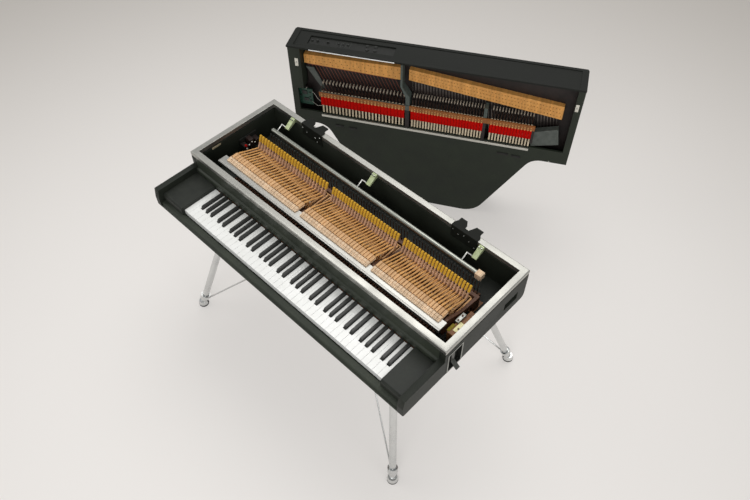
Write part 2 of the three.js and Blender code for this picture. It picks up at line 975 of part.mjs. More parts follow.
function wippenOutline() {
  const low = keyTop + wippen.bottomRise;
  const high = low + wippen.thickness;
  const knuckle = hammer.knuckleStart + hammer.knuckleLength / 2;
  const slope = hammer.restAngle * degree;
  const knuckleLow = -hammer.shankHalf - hammer.knuckleDepth;
  const knuckleZ = hammerPivotZ + knuckle * Math.sin(slope) + knuckleLow * Math.cos(slope);
  const jackTop = knuckleZ - wippen.jackGap;
  const jackFront = jackBack - wippen.jackThickness;
  const heelY = jackBack + wippen.heelBehindJack;
  const heelLow = stickTop + wippen.heelGap;
  return [
    [jackFront, low],
    [heelY - wippen.heelHalf, low],
    [heelY - wippen.heelHalf, heelLow],
    [heelY + wippen.heelHalf, heelLow],
    [heelY + wippen.heelHalf, low],
    [wippenPivotY, low],
    [wippenPivotY, high],
    [jackBack, high],
    [jackBack, jackTop],
    [jackFront, jackTop],
  ];
}

function wippenSection(section) {
  const group = notesOf(section);
  const outline = wippenOutline();
  const half = wippen.width / 2;
  const levers = group.map(({ hammerX }) => prism("x", outline, hammerX - half, hammerX + half));
  const high = keyTop + wippen.bottomRise + wippen.thickness;
  const barYs = [wippenPivotY - wippen.hingeBar, wippenPivotY];
  const bar = box(sectionSpan(group), barYs, [high, high + wippen.hingeBar]);
  return join([bar, ...levers]);
}

// Cast brackets stand on the key frame's sole between the sections, and reach forward over
// the sticks to the hammer rail. The wippen rail joins them.
function actionFrame() {
  const railFront = wippenPivotY + wippen.buttLength;
  const railLow = keyTop + wippen.bottomRise;
  const railTop = railLow + wippen.railHeight;
  const hammerRailLow = hammerRailTop - hammerRail.thickness;
  const crownBack = hammerRailFront + hammerRail.width + bracket.crown;
  const webLow = keyTop + bracket.webRise;
  const footLow = caseFloor + keyFrame.sheet;
  const outline = [
    [bracketFootFront, footLow],
    [railFront + wippen.railDepth, footLow],
    [railFront + wippen.railDepth, railTop],
    [railFront, railTop],
    [share(crownBack, railFront, bracket.waistShare), keyTop + bracket.waistRise],
    [crownBack, hammerRailLow - seatGap],
    [hammerRailFront + bracket.toeSetBack, hammerRailLow - seatGap],
    [hammerRailFront + bracket.webSetBack, webLow],
    [bracketFootFront, webLow],
  ];
  const half = bracket.thickness / 2;
  const brackets = bracketX.map((x) => prism("x", outline, x - half, x + half));
  const rail = box(
    [bracketX[0], bracketX[bracketX.length - 1]],
    [railFront, railFront + wippen.railDepth],
    [railLow, railTop],
  );
  return join([rail, ...brackets]);
}

function liftRail() {
  const z = keyTop + lift.rise;
  const pivotZ = keyTop + lift.pivotRise;
  const tube = rod([liftLeft, liftY, z], [liftRight, liftY, z], lift.radius, lift.sides);
  const half = lift.blockSize / 2;
  const block = box(
    [liftRight - overrun, liftRight + lift.blockLength],
    [liftY - half, liftY + half],
    [z - half, z + half],
  );
  const rods = liftBracketX.flatMap((x) => {
    const rodX = x - lift.bracketWidth / 2 - lift.rodBend;
    const end = x - lift.bracketWidth / 2 - seatGap;
    return [
      rod([rodX, liftY, z], [rodX, hangerY, pivotZ], lift.rodRadius, lift.rodSides),
      rod([rodX - lift.rodRadius, hangerY, pivotZ], [end, hangerY, pivotZ], lift.rodRadius, lift.rodSides),
    ];
  });
  return join([tube, block, ...rods]);
}

function liftBracket(x) {
  const back = boxInnerBack - seatGap;
  const nose = hangerY - lift.bracketNose;
  const pivotZ = keyTop + lift.pivotRise;
  const top = rimTop - rimChamfer;
  const outline = [
    [back, top],
    [back, top - lift.tabDrop],
    [back - lift.bracketThickness, top - lift.tabDrop],
    [nose + lift.bracketThickness, pivotZ - lift.bracketNose],
    [nose, pivotZ],
    [back - lift.bracketThickness, top],
  ];
  const half = lift.bracketWidth / 2;
  return prism("x", outline, x - half, x + half);
}

// The left plate stands to the right of the first lift bracket, the right plate to the left
// of the last one
function hookPlateSolid(side) {
  const [leftGap, rightGap] = hookPlate.bracketGaps;
  const bracketHalf = lift.bracketWidth / 2;
  const fromLeft = liftBracketX[0] + bracketHalf + leftGap;
  const fromRight = liftBracketX[liftBracketX.length - 1] - bracketHalf - rightGap - hookPlate.length;
  const left = side < 0 ? fromLeft : fromRight;
  const right = left + hookPlate.length;
  const front = boxInnerBack - hookPlate.flangeThickness - seatGap;
  const root = boxInnerBack + hookPlate.rootWidth;
  const reach = boxInnerBack + hookPlate.reach;
  const [lobeA, gapA, gapB, lobeB] = hookPlate.lobeShares.map((part) => share(left, right, part));
  const notch = share(root, reach, hookPlate.notchShare);
  const outline = [
    [left, front],
    [right, front],
    [right, root],
    [lobeB, notch],
    [lobeB, reach],
    [share(gapB, lobeB, hookPlate.rightSlopeShare), reach],
    [gapB, root],
    [gapA, root],
    [gapA, notch],
    [share(lobeA, gapA, hookPlate.leftSlopeShare), reach],
    [lobeA, reach],
    [lobeA, notch],
    [left, root],
  ];
  const low = rimTop + seatGap;
  const plate = prism("z", outline, low, low + hookPlate.thickness);
  const flange = box(
    [left, right],
    [front, front + hookPlate.flangeThickness],
    [keyTop + hookPlate.flangeDrop, low + overrun],
  );
  return join([plate, flange]);
}

function latchDish(side) {
  const low = keyTop - latch.bottomDrop;
  const reach = (depth) => side * (halfCase - depth);
  const xs = (a, b) => [Math.min(reach(a), reach(b)), Math.max(reach(a), reach(b))];
  const ys = [latchFront + seatGap, latchFront + latch.width - seatGap];
  const zs = [low + seatGap, low + latch.height - seatGap];
  const tray = box(xs(latch.depth, -latch.flangeThickness), ys, zs);
  const flange = box(
    xs(-seatGap, -latch.flangeThickness),
    [ys[0] - latch.flange, ys[1] + latch.flange],
    [zs[0] - latch.flange, zs[1] + latch.flange],
  );
  const hollow = box(
    xs(latch.depth - latch.sheet, -latch.flangeThickness - overrun),
    [ys[0] + latch.sheet, ys[1] - latch.sheet],
    [zs[0] + latch.sheet, zs[1] - latch.sheet],
  );
  return join([tray, flange]).subtract(hollow);
}

// The latch lever hangs from its pin in the dish, and its hook leans out over the dish's edge
function latchLever(side) {
  const pivotX = halfCase - latch.pivotDepth;
  const pivotZ = keyTop + latch.pivotRise;
  const half = latch.leverThickness / 2;
  const kneeZ = pivotZ - latch.leverDrop;
  const hookX = pivotX + latch.leverReach;
  const hookZ = kneeZ - latch.leverHookDrop;
  const outline = [
    [pivotX - half, pivotZ + latch.pinRadius],
    [pivotX - half, kneeZ],
    [hookX - half, hookZ],
    [hookX + half, hookZ + latch.leverThickness],
    [pivotX + half, kneeZ + latch.leverThickness],
    [pivotX + half, pivotZ + latch.pinRadius],
  ].map(([x, z]) => [side * x, z]);
  const mid = latchFront + latch.width / 2;
  const blade = prism("y", outline, mid - latch.leverWidth / 2, mid + latch.leverWidth / 2);
  const inset = latch.sheet + seatGap + seatGap;
  const pin = rod(
    [side * pivotX, latchFront + inset, pivotZ],
    [side * pivotX, latchFront + latch.width - inset, pivotZ],
    latch.pinRadius,
    lift.rodSides,
  );
  return join([blade, pin]);
}

function relayStack() {
  const wallX = seatGap - innerHalf;
  const low = keyTop - relay.bottomDrop;
  const ys = [relay.front, relay.front + relay.width];
  const plate = box([wallX, wallX + relay.plate], ys, [low, low + relay.height]);
  const blocks = relay.placeShares.map((part, i) => {
    const y = share(ys[0], ys[1], part);
    return box(
      [wallX, wallX + relay.plate + relay.depth],
      [y, y + relay.block],
      [low, low + relay.height * relay.heightShares[i]],
    );
  });
  return join([plate, ...blocks]);
}

function actionEndBlock() {
  const right = innerHalf - seatGap;
  const back = endBlock.front + endBlock.length;
  const stepY = endBlock.front + endBlock.topLength;
  const outline = [
    [endBlock.front, caseFloor],
    [back, caseFloor],
    [back, keyTop + endBlock.stepRise],
    [stepY, keyTop + endBlock.stepRise],
    [stepY, keyTop + endBlock.rise],
    [endBlock.front, keyTop + endBlock.rise],
  ];
  return prism("x", outline, right - endBlock.width, right);
}

// Legs

function legLine(sideX, sideY) {
  const front = sideY < 0;
  const topX = halfCase - leg.sideInset;
  const topY = front ? caseFront + leg.frontInset : boxBack - leg.backInset;
  const footY = front ? topY - leg.frontSpread : topY + leg.backSpread;
  return {
    top: new THREE.Vector3(sideX * topX, topY, caseBottom),
    foot: new THREE.Vector3(sideX * (topX + leg.sideSpread), footY, 0),
  };
}

function pointAtHeight({ top, foot }, z) {
  return foot.clone().lerp(top, z / top.z);
}

function legSolid(sideX, sideY) {
  const line = legLine(sideX, sideY);
  const along = line.top.clone().sub(line.foot).normalize();
  const above = line.top.clone().addScaledVector(along, leg.collarRadius);
  const collarLow = line.top.clone().addScaledVector(along, -leg.collarLength);
  const tubeLow = pointAtHeight(line, leg.footHeight / 2);
  const tube = rod(tubeLow.toArray(), above.toArray(), leg.radius, leg.sides);
  const collar = rod(collarLow.toArray(), above.toArray(), leg.collarRadius, leg.sides);
  const profile = [
    new THREE.Vector2(0, 0),
    new THREE.Vector2(leg.footRadius, 0),
    new THREE.Vector2(leg.footRadius, leg.footHeight * leg.footEdgeShare),
    new THREE.Vector2(leg.footTopRadius, leg.footHeight),
    new THREE.Vector2(0, leg.footHeight),
  ];
  const puck = new THREE.LatheGeometry(profile, leg.sides);
  puck.rotateX(Math.PI / 2);
  puck.translate(tubeLow.x, tubeLow.y, 0);
  const reach = leg.collarRadius + leg.collarLength;
  const cut = box(
    [line.top.x - reach, line.top.x + reach],
    [line.top.y - reach, line.top.y + reach],
    [caseBottom - seatGap, caseBottom + reach],
  );
  return join([tube, collar, solidFrom(puck)]).subtract(cut);
}

function braceSolid(sideX, sideY) {
  const line = legLine(sideX, sideY);
  const along = line.top.clone().sub(line.foot).normalize();
  const grip = pointAtHeight(line, brace.clampRise);
  const half = brace.clampLength / 2;
  const clampEnds = [-half, half].map((step) => grip.clone().addScaledVector(along, step).toArray());
  const past = half + leg.collarRadius;
  const boreEnds = [-past, past].map((step) => grip.clone().addScaledVector(along, step).toArray());
  const clamp = rod(...clampEnds, brace.clampRadius, leg.sides);
  const bore = rod(...boreEnds, leg.radius + brace.boreClearance, leg.sides);
  const anchorX = sideX * brace.anchorX;
  const anchorY = brace.anchorY + sideY * brace.anchorSpread;
  const anchorTop = caseBottom - seatGap;
  const anchorLow = anchorTop - brace.anchorThickness;
  const size = brace.anchorSize / 2;
  const anchor = box(
    [anchorX - size, anchorX + size],
    [anchorY - size, anchorY + size],
    [anchorLow, anchorTop],
  );
  const anchorPoint = new THREE.Vector3(anchorX, anchorY, anchorLow + brace.anchorThickness / 2);
  const outward = anchorPoint.clone().sub(grip).projectOnPlane(along).normalize();
  const ringMiddle = middle([leg.radius + brace.boreClearance, brace.clampRadius]);
  const wireStart = grip.clone().addScaledVector(outward, ringMiddle);
  const wire = rod(wireStart.toArray(), anchorPoint.toArray(), brace.radius, brace.sides);
  return join([clamp, wire, anchor]).subtract(bore);
}

// Harp section

// The outline of the case, or a line inside it by a given inset
function harpOutline(inset) {
  const slope = (shoulder.x - harp.tailHalf) / harp.tailLength;
  const slant = Math.hypot(1, slope) - slope;
  const halfFront = harpHalf - inset;
  const corner = [shoulder.x - inset * slant, shoulder.y - inset];
  const tail = [harp.tailHalf - inset * slant, harpLength - inset];
  const right = [
    [halfFront, inset, 0],
    [halfFront, corner[1], 0],
    [...corner, harp.shoulderRadius],
    [...tail, harp.tailRadius],
  ];
  const left = right.map(([x, y, radius]) => [-x, y, radius]).reverse();
  return rounded([...right, ...left], harp.outlineSteps);
}

function harpCase() {
  const shape = new THREE.Shape(harpOutline(0).map(([x, y]) => new THREE.Vector2(x, y)));
  const shell = new THREE.ExtrudeGeometry(shape, {
    depth: harp.depth - harp.edgeDrop,
    bevelThickness: harp.edgeDrop,
    bevelSize: harp.edgeInset,
    bevelOffset: -harp.edgeInset,
    bevelSegments: edgeSteps,
  });
  const below = box(
    [-harpHalf - overrun, harpHalf + overrun],
    [-overrun, harpLength + overrun],
    [-harp.edgeDrop - overrun, 0],
  );
  const inside = [harp.skin, harp.depth - harp.back];
  const cavity = prism("z", harpOutline(harp.wall), ...inside);
  const bayHigh = [-overrun, harp.depth - harp.back];
  const besidePost = box([leftPostX, bayHalf], [harp.bayFront, leftPostBack + overrun], bayHigh);
  const behindPost = box([-bayHalf, bayHalf], [leftPostBack, bayBack], bayHigh);
  const leftPost = box(
    [-bayHalf, leftPostX],
    [harp.bayFront - overrun, leftPostBack],
    [0, harp.depth - harp.back + overrun],
  );
  const face = box(
    [harp.faceBorder - harpHalf, harpHalf - harp.faceBorder],
    [-overrun, harp.faceRecess],
    [harp.faceRecess, harp.depth - harp.faceBorder],
  );
  const panel = box(
    [panelLeft, panelRight],
    [-overrun, harp.panelDepth],
    [harp.panelLow, harp.panelHigh],
  );
  const lip = box([-harpHalf, harpHalf], [0, harp.lipDepth], [-harp.lipDrop, overrun]);
  const walls = solidFrom(shell).subtract(join([below, cavity, besidePost, behindPost]));
  return join([walls, leftPost, lip]).subtract(join([face, panel]));
}

function controlPlate() {
  return box(
    [panelLeft + seatGap, panelRight - seatGap],
    [harp.panelDepth - control.plate, harp.panelDepth - seatGap],
    [harp.panelLow + seatGap, harp.panelHigh - seatGap],
  );
}

const plateFace = harp.panelDepth - control.plate - seatGap;

function knob(x) {
  return rod(
    [x, plateFace - control.knobHeight, control.height],
    [x, plateFace, control.height],
    control.knobRadius,
    control.knobSides,
  );
}

function sliderCap(x) {
  const half = control.capWidth / 2;
  const long = control.capLength / 2;
  return box(
    [x - half, x + half],
    [plateFace - control.capHeight, plateFace],
    [control.height - long, control.height + long],
  );
}

// How far back a pin block reaches at a given place along it
function blockBack({ leftY, rightY, leftDepth, rightDepth }, xs, x) {
  return share(leftY + leftDepth, rightY + rightDepth, (x - xs[0]) / (xs[1] - xs[0]));
}

function pinBlockSolid({ leftY, rightY, leftDepth, rightDepth }, [left, right]) {
  const outline = [
    [left, leftY],
    [right, rightY],
    [right, rightY + rightDepth],
    [left, leftY + leftDepth],
  ];
  return prism("z", outline, pinBlock.low, pinBlock.high);
}

// The iron plate lies behind the pin blocks and the strings
function ironPlateSolid() {
  const low = pinBlock.high + seatGap;
  const high = low + ironPlate.thickness;
  const plate = prism("z", harpOutline(harp.wall + ironPlate.edgeGap), low, high);
  const postXs = [-harpHalf, leftPostX + ironPlate.edgeGap];
  const postYs = [0, leftPostBack + ironPlate.edgeGap];
  return plate.subtract(box(postXs, postYs, [low - overrun, high + overrun]));
}

// One string with its ends square to the harp's length: three sides between two places
function stringSolid(start, end, z) {
  const section = [0, 1, 2].map((k) => {
    const angle = Math.PI / 2 + (k * 2 * Math.PI) / 3;
    return [string.radius * Math.cos(angle), string.radius * Math.sin(angle)];
  });
  const vertices = [start, end].flatMap(([x, y]) => section.map(([dx, dz]) => [x + dx, y, z + dz]));
  const index = [0, 1, 2, 5, 4, 3, 0, 3, 1, 1, 3, 4, 1, 4, 2, 2, 4, 5, 2, 5, 0, 0, 5, 3];
  const geometry = new THREE.BufferGeometry();
  geometry.setAttribute("position", new THREE.Float32BufferAttribute(vertices.flat(), 3));
  geometry.setIndex(index);
  return solidFrom(geometry);
}

// A bar under the strings, between the places of the first and last string
function stringBar(first, last, z) {
  const margin = string.barMargin;
  const half = string.barDepth / 2;
  const outline = [
    [first[0] - margin, first[1] - half],
    [last[0] + margin, last[1] - half],
    [last[0] + margin, last[1] + half],
    [first[0] - margin, first[1] + half],
  ];
  return prism("z", outline, z - string.radius, pinBlock.high);
}

function strungSet(block, xs, places, z) {
  const fronts = places.map(({ x }) => [x, blockBack(block, xs, x) + string.barSetBack]);
  const ends = places.map(({ slant, endY }, i) => [fronts[i][0] + slant * (endY - fronts[i][1]), endY]);
  const strings = places.map((place, i) => stringSolid(fronts[i], ends[i], z));
  const last = places.length - 1;
  const bars = [fronts, ends].map((row) => stringBar(row[0], row[last], z));
  return join([...bars, ...strings]);
}

// Even places between two ends, with a room kept free at each end
function evenly([left, right], [leftRoom, rightRoom], count) {
  const pitch = (right - rightRoom - left - leftRoom) / (count - 1);
  return Array.from({ length: count }, (_, i) => left + leftRoom + i * pitch);
}

// The bass strings run parallel to the first one, which ends near the slanted side wall
function bassStringSet() {
  const endY = harpLength - bassStrings.tailRoom;
  const xs = evenly(bassBlockXs, [bassStrings.leftRoom, bassStrings.rightRoom], sections[0].count);
  const wallHalf = share(shoulder.x, harp.tailHalf, (endY - shoulder.y) / harp.tailLength);
  const startY = blockBack(pinBlockBass, bassBlockXs, xs[0]) + string.barSetBack;
  const slant = (bassStrings.wallRoom - wallHalf - xs[0]) / (endY - startY);
  const places = xs.map((x) => ({ x, slant, endY }));
  return strungSet(pinBlockBass, bassBlockXs, places, bassStrings.z);
}

function trebleStringSet() {
  const count = noteCount - sections[0].count;
  const xs = evenly(trebleBlockXs, [trebleStrings.leftRoom, trebleStrings.rightRoom], count);
  const places = xs.map((x, i) => {
    const part = i / (count - 1);
    return {
      x,
      slant: share(trebleStrings.firstSlantShare, trebleStrings.lastSlantShare, part),
      endY: share(harpLength - trebleStrings.firstTailRoom, bayBack - trebleStrings.lastBayRoom, part),
    };
  });
  return strungSet(pinBlockTreble, trebleBlockXs, places, trebleStrings.z);
}

function damperSection(section) {
  const half = damper.width / 2;
  const tipHigh = section.stringZ - string.radius - damper.tipGap;
  const tipBack = damperFront + damper.tipDepth;
  const outline = [
    [damperFront, damper.low],
    [damperBack, damper.low],
    [damperBack, damper.high],
    [tipBack, damper.high],
    [tipBack, tipHigh],
    [damperFront, tipHigh],
  ];
  const places = evenly(section.xs, section.rooms, section.count);
  const levers = places.map((x) => prism("x", outline, x - half, x + half));
  const bar = box(
    [places[0], places[places.length - 1]],
    [damperPivotY - damper.hingeBar / 2, damperPivotY + damper.hingeBar / 2],
    [damper.high, damper.high + damper.hingeBar],
  );
  return join([bar, ...levers]);
}

// The damper rail crosses the iron struts, which run from the front wall and the treble
// pin block back to the edge of the bottom panel.
function damperFrame() {
  const railHigh = damper.low - damperRail.turnRoom;
  const railLow = railHigh - damperRail.thickness;
  const railFront = damperPivotY - damperRail.beforePivot;
  const railYs = [railFront, railFront + damperRail.depth];
  const rail = box(damperRailXs, railYs, [railLow, railHigh]);
  const half = strut.width / 2;
  const frontHalf = half / 2;
  const backY = bayBack - seatGap;
  const bassStrut = [
    [bassFrontX - frontHalf, harp.bayFront + seatGap],
    [bassFrontX + frontHalf, harp.bayFront + seatGap],
    [bassFrontX + frontHalf, strut.kneeFront],
    [bassStrutX + half, strut.kneeBack],
    [bassStrutX + half, backY],
    [bassStrutX - half, backY],
    [bassStrutX - half, strut.kneeBack],
    [bassFrontX - frontHalf, strut.kneeFront],
  ];
  const strutZs = [railHigh - overrun, strut.high];
  const trebleXs = [trebleStrutX - strut.trebleWidth / 2, trebleStrutX + strut.trebleWidth / 2];
  const trebleFront = blockBack(pinBlockTreble, trebleBlockXs, trebleXs[1]) + strut.blockGap;
  const [railLeft, railRight] = damperRailXs;
  const castingLeft = railRight - cornerCasting.railOverlap;
  const castingRight = bayHalf - cornerCasting.rightRoom;
  const castingFront = backY - cornerCasting.depth;
  const casting = [
    [castingLeft, castingFront + cornerCasting.leftSkew],
    [castingRight - cornerCasting.sideSkew, castingFront - cornerCasting.frontSkew],
    [castingRight, backY - cornerCasting.frontSkew],
    [castingLeft + cornerCasting.sideSkew, backY],
  ];
  const castingPost = box(
    [railRight - cornerCasting.post, railRight],
    [railYs[1] - overrun, backY - cornerCasting.frontSkew],
    [railLow, cornerCasting.low + overrun],
  );
  const plateLeft = sidePlate.leftRoom - bayHalf;
  const plateBack = railFront + sidePlate.railOverlap;
  const plateOutline = [
    [plateLeft, sidePlate.front],
    [plateLeft + sidePlate.width, sidePlate.front],
    [railLeft + sidePlate.backWidth, plateBack],
    [railLeft, plateBack],
  ];
  const platePost = box(
    [railLeft, railLeft + sidePlate.postWidth],
    [railYs[0], railYs[0] + sidePlate.postDepth],
    [railLow, sidePlate.low + sidePlate.thickness],
  );
  return join([
    rail,
    prism("z", bassStrut, ...strutZs),
    box(trebleXs, [trebleFront, backY], strutZs),
    prism("z", casting, cornerCasting.low, strut.high),
    castingPost,
    prism("z", plateOutline, sidePlate.low, sidePlate.low + sidePlate.thickness),
    platePost,
  ]);
}

function damperStopRail() {
  const y = bayBack + stopRail.behindBay;
  return box(
    [damperRailXs[0] + stopRail.leftInset, damperRailXs[1] - stopRail.rightInset],
    [y, y + stopRail.depth],
    [-seatGap - stopRail.height, -seatGap],
  );
}

function preampBoard() {
  const wallX = seatGap + harp.wall - harpHalf;
  const front = leftPostBack + preamp.behindPost;
  return box(
    [wallX, wallX + preamp.width],
    [front, front + preamp.depth],
    [preamp.low, preamp.low + preamp.thickness],
  );
}

// The scene graph

const piano = new THREE.Group();
const keyboardSection = new THREE.Group();
const harpSection = new THREE.Group();
const harpStand = new THREE.Group();
piano.add(keyboardSection, harpStand);
harpStand.add(harpSection);
harpStand.position.set(harp.standX, boxBack + harp.standBehind, harpLength);
harpStand.rotation.z = harp.turnAngle * degree;
harpSection.rotation.x = -Math.PI / 2;

function addFixedKeyboardPieces() {
  const cheekLeft = [seatGap - innerHalf, keysLeft - cheek.sideGap];
  const cheekRight = [keysRight + cheek.sideGap, innerHalf - seatGap];
  keyboardSection.add(
    meshOf("lower_case", lowerCase(), blackVinyl),
    meshOf("rim_frame", rimFrame(), rimAluminium),
    meshOf("key_slip", keySlip(), blackVinyl),
    meshOf("cheek_block_left", cheekBlock(cheekLeft), blackVinyl),
    meshOf("cheek_block_right", cheekBlock(cheekRight), blackVinyl),
    meshOf("fallboard", fallBoard(), blackVinyl),
    meshOf("key_frame", keyFrameSolid(), frameWood),
    meshOf("relay_stack", relayStack(), blackSteel),
    meshOf("action_end_block", actionEndBlock(), frameWood),
  );
}

function addKeysAndAction() {
  keyboardSection.add(
    meshOf("hammer_rail", hammerRailSolid(), railAluminium),
    meshOf("action_frame", actionFrame(), castBrown),
  );
  sections.forEach((section) => {
    const hammers = meshOf("hammers_" + section.name, hammerSection(section), actionWood);
    hammers.position.set(0, hammerPivotY, hammerPivotZ);
    hammers.rotation.x = hammer.restAngle * degree;
    keyboardSection.add(
      meshOf("white_keys_" + section.name, keySection(section, true), whiteKeyPlastic),
      meshOf("black_keys_" + section.name, keySection(section, false), blackKeyPlastic),
      meshOf("wippens_" + section.name, wippenSection(section), actionWood),
      hammers,
    );
  });
}

function addLiftRailAndHooks() {
  keyboardSection.add(meshOf("lift_rail", liftRail(), railAluminium));
  liftBracketX.forEach((x, i) => {
    keyboardSection.add(meshOf("lift_bracket_" + sections[i].name, liftBracket(x), platedSteel));
  });
  ["left", "right"].forEach((side, i) => {
    const sign = i === 0 ? -1 : 1;
    keyboardSection.add(
      meshOf("hook_plate_" + side, hookPlateSolid(sign), blackSteel),
      meshOf("latch_dish_" + side, latchDish(sign), blackSteel),
      meshOf("latch_lever_" + side, latchLever(sign), chrome),
    );
  });
}

function addLegs() {
  ["left", "right"].forEach((side, i) => {
    ["front", "back"].forEach((end, j) => {
      const signs = [i === 0 ? -1 : 1, j === 0 ? -1 : 1];
      keyboardSection.add(
        meshOf("leg_" + end + "_" + side, legSolid(...signs), chrome),
        meshOf("brace_" + end + "_" + side, braceSolid(...signs), chrome),
      );
    });
  });
}

function addHarp() {
  harpSection.add(
    meshOf("harp_case", harpCase(), blackVinyl),
    meshOf("control_plate", controlPlate(), blackSteel),
    meshOf("volume_knob", knob(panelLeft + control.volumeInset), blackKeyPlastic),
    meshOf("tremolo_knob", knob(panelLeft + control.tremoloInset), blackKeyPlastic),
    meshOf("pin_block_bass", pinBlockSolid(pinBlockBass, bassBlockXs), pinBlockWood),
    meshOf("pin_block_treble", pinBlockSolid(pinBlockTreble, trebleBlockXs), pinBlockWood),
    meshOf("iron_plate", ironPlateSolid(), castIron),
    meshOf("strings_bass", bassStringSet(), stringSteel),
    meshOf("strings_treble", trebleStringSet(), stringSteel),
    meshOf("damper_frame", damperFrame(), frameWood),
    meshOf("damper_stop_rail", damperStopRail(), railAluminium),
    meshOf("preamp_board", preampBoard(), boardGreen),
  );
  sections.forEach(({ name }, i) => {
    const x = panelLeft + control.sliderInset + i * control.sliderPitch;
    harpSection.add(meshOf("slider_" + name, sliderCap(x), blackKeyPlastic));
  });
  damperSections.forEach((section) => {
    harpSection.add(meshOf("dampers_" + section.name, damperSection(section), damperFelt));
  });
}

addFixedKeyboardPieces();
addKeysAndAction();
addLiftRailAndHooks();
addLegs();
addHarp();

piano.updateMatrixWorld(true);
const bounds = new THREE.Box3().setFromObject(piano, true);
const footprint = bounds.getCenter(new THREE.Vector3());
piano.position.set(-footprint.x, -footprint.y, -bounds.min.z);

export default piano;
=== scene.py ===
import json
import math
import bpy
import bmesh
from mathutils import Matrix, Vector

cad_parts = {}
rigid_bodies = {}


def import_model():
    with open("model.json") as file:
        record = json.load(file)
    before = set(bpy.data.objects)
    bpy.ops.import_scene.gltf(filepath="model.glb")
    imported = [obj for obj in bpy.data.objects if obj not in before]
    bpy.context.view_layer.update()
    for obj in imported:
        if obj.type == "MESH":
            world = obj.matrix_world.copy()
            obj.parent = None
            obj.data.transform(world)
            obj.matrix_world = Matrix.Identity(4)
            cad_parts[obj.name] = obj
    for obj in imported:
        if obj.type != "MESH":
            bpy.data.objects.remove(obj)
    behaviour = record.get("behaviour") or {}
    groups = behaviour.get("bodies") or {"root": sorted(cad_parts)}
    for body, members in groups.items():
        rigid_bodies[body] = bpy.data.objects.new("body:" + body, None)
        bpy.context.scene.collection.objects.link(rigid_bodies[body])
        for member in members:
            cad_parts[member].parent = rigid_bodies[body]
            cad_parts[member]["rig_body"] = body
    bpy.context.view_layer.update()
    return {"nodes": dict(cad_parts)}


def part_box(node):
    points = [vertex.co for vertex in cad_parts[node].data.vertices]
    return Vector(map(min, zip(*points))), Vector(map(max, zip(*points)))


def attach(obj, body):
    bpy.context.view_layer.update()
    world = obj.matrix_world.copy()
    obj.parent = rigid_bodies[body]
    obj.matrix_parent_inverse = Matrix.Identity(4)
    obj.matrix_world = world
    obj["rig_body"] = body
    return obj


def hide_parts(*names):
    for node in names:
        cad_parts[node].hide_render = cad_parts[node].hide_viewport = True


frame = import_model()
nodes = frame["nodes"]
sectionNames = ["bass", "middle", "treble"]
sideNames = ["left", "right"]
mm = 0.001

# Keyboard section, in millimetres from the middle of its case, the fronts of its white
# keys and the tops of its white keys
case = {"armFront": -34, "keyTop": 685, "rimTop": 101}
caseLow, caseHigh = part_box("lower_case")
keyboardPlace = Matrix.Translation(
    ((caseLow.x + caseHigh.x) / 2, caseLow.y - case["armFront"] * mm, case["keyTop"] * mm)
) @ Matrix.Scale(mm, 4)

# Harp section, laid out lying down: x across, y back from its front edge, z up from its
# underside. It stands on its tail, turned.
harp = {"x": -270.9, "y": 1122.2, "length": 828, "turn": 28.76}
harpPlace = (
    keyboardPlace
    @ Matrix.Translation((harp["x"], harp["y"], harp["length"] - case["keyTop"]))
    @ Matrix.Rotation(math.radians(harp["turn"]), 4, "Z")
    @ Matrix.Rotation(math.radians(-90), 4, "X")
)


# Small tools that every piece uses

# angles in degrees, the distance in metres
surface = {"sharpAngle": 32, "flatAngle": 1, "mergeWithin": 0.00001}


def linearFrom(code):
    # an sRGB hex colour made linear
    values = [int(code[i : i + 2], 16) / 255 for i in (1, 3, 5)]
    return tuple(v / 12.92 if v <= 0.04045 else ((v + 0.055) / 1.055) ** 2.4 for v in values) + (1.0,)


def perMetre(size):
    # a pattern's scale from its real size in millimetres
    return 1000 / size


def around(middle, half):
    return (middle - half, middle + half)


def addNode(tree, kind, settings=None, links=None):
    node = tree.nodes.new(kind)
    for key, value in (settings or {}).items():
        if isinstance(key, str) and key in node.bl_rna.properties:
            setattr(node, key, value)
        else:
            node.inputs[key].default_value = value
    for key, socket in (links or {}).items():
        tree.links.new(socket, node.inputs[key])
    return node


def startMaterial(name, color, roughness, metallic=0.0, sockets=None):
    material = bpy.data.materials.new(name)
    material.use_nodes = True
    shader = material.node_tree.nodes["Principled BSDF"]
    shader.inputs["Base Color"].default_value = linearFrom(color)
    shader.inputs["Roughness"].default_value = roughness
    shader.inputs["Metallic"].default_value = metallic
    for key, value in (sockets or {}).items():
        shader.inputs[key].default_value = value
    return material, material.node_tree, shader


def roundEdges(bm, edges, offset, segments=1):
    bmesh.ops.bevel(
        bm, geom=edges, offset=offset, segments=segments, profile=0.5, affect="EDGES", material=-1
    )


def addBlock(bm, xs, ys, zs, bevel=0, segments=2):
    size = [xs[1] - xs[0], ys[1] - ys[0], zs[1] - zs[0]]
    middle = [(xs[0] + xs[1]) / 2, (ys[0] + ys[1]) / 2, (zs[0] + zs[1]) / 2]
    place = Matrix.Translation(middle) @ Matrix.Diagonal((*size, 1))
    made = bmesh.ops.create_cube(bm, size=1, matrix=place)
    if bevel:
        edges = list({edge for vert in made["verts"] for edge in vert.link_edges})
        roundEdges(bm, edges, bevel, segments)
    return made["verts"]


def addRod(bm, start, end, radius, sides=12, endRadius=None):
    start, end = Vector(start), Vector(end)
    along = end - start
    turn = along.to_track_quat("Z", "Y").to_matrix().to_4x4()
    bmesh.ops.create_cone(
        bm,
        cap_ends=True,
        segments=sides,
        radius1=radius,
        radius2=radius if endRadius is None else endRadius,
        depth=along.length,
        matrix=Matrix.Translation((start + end) / 2) @ turn,
    )


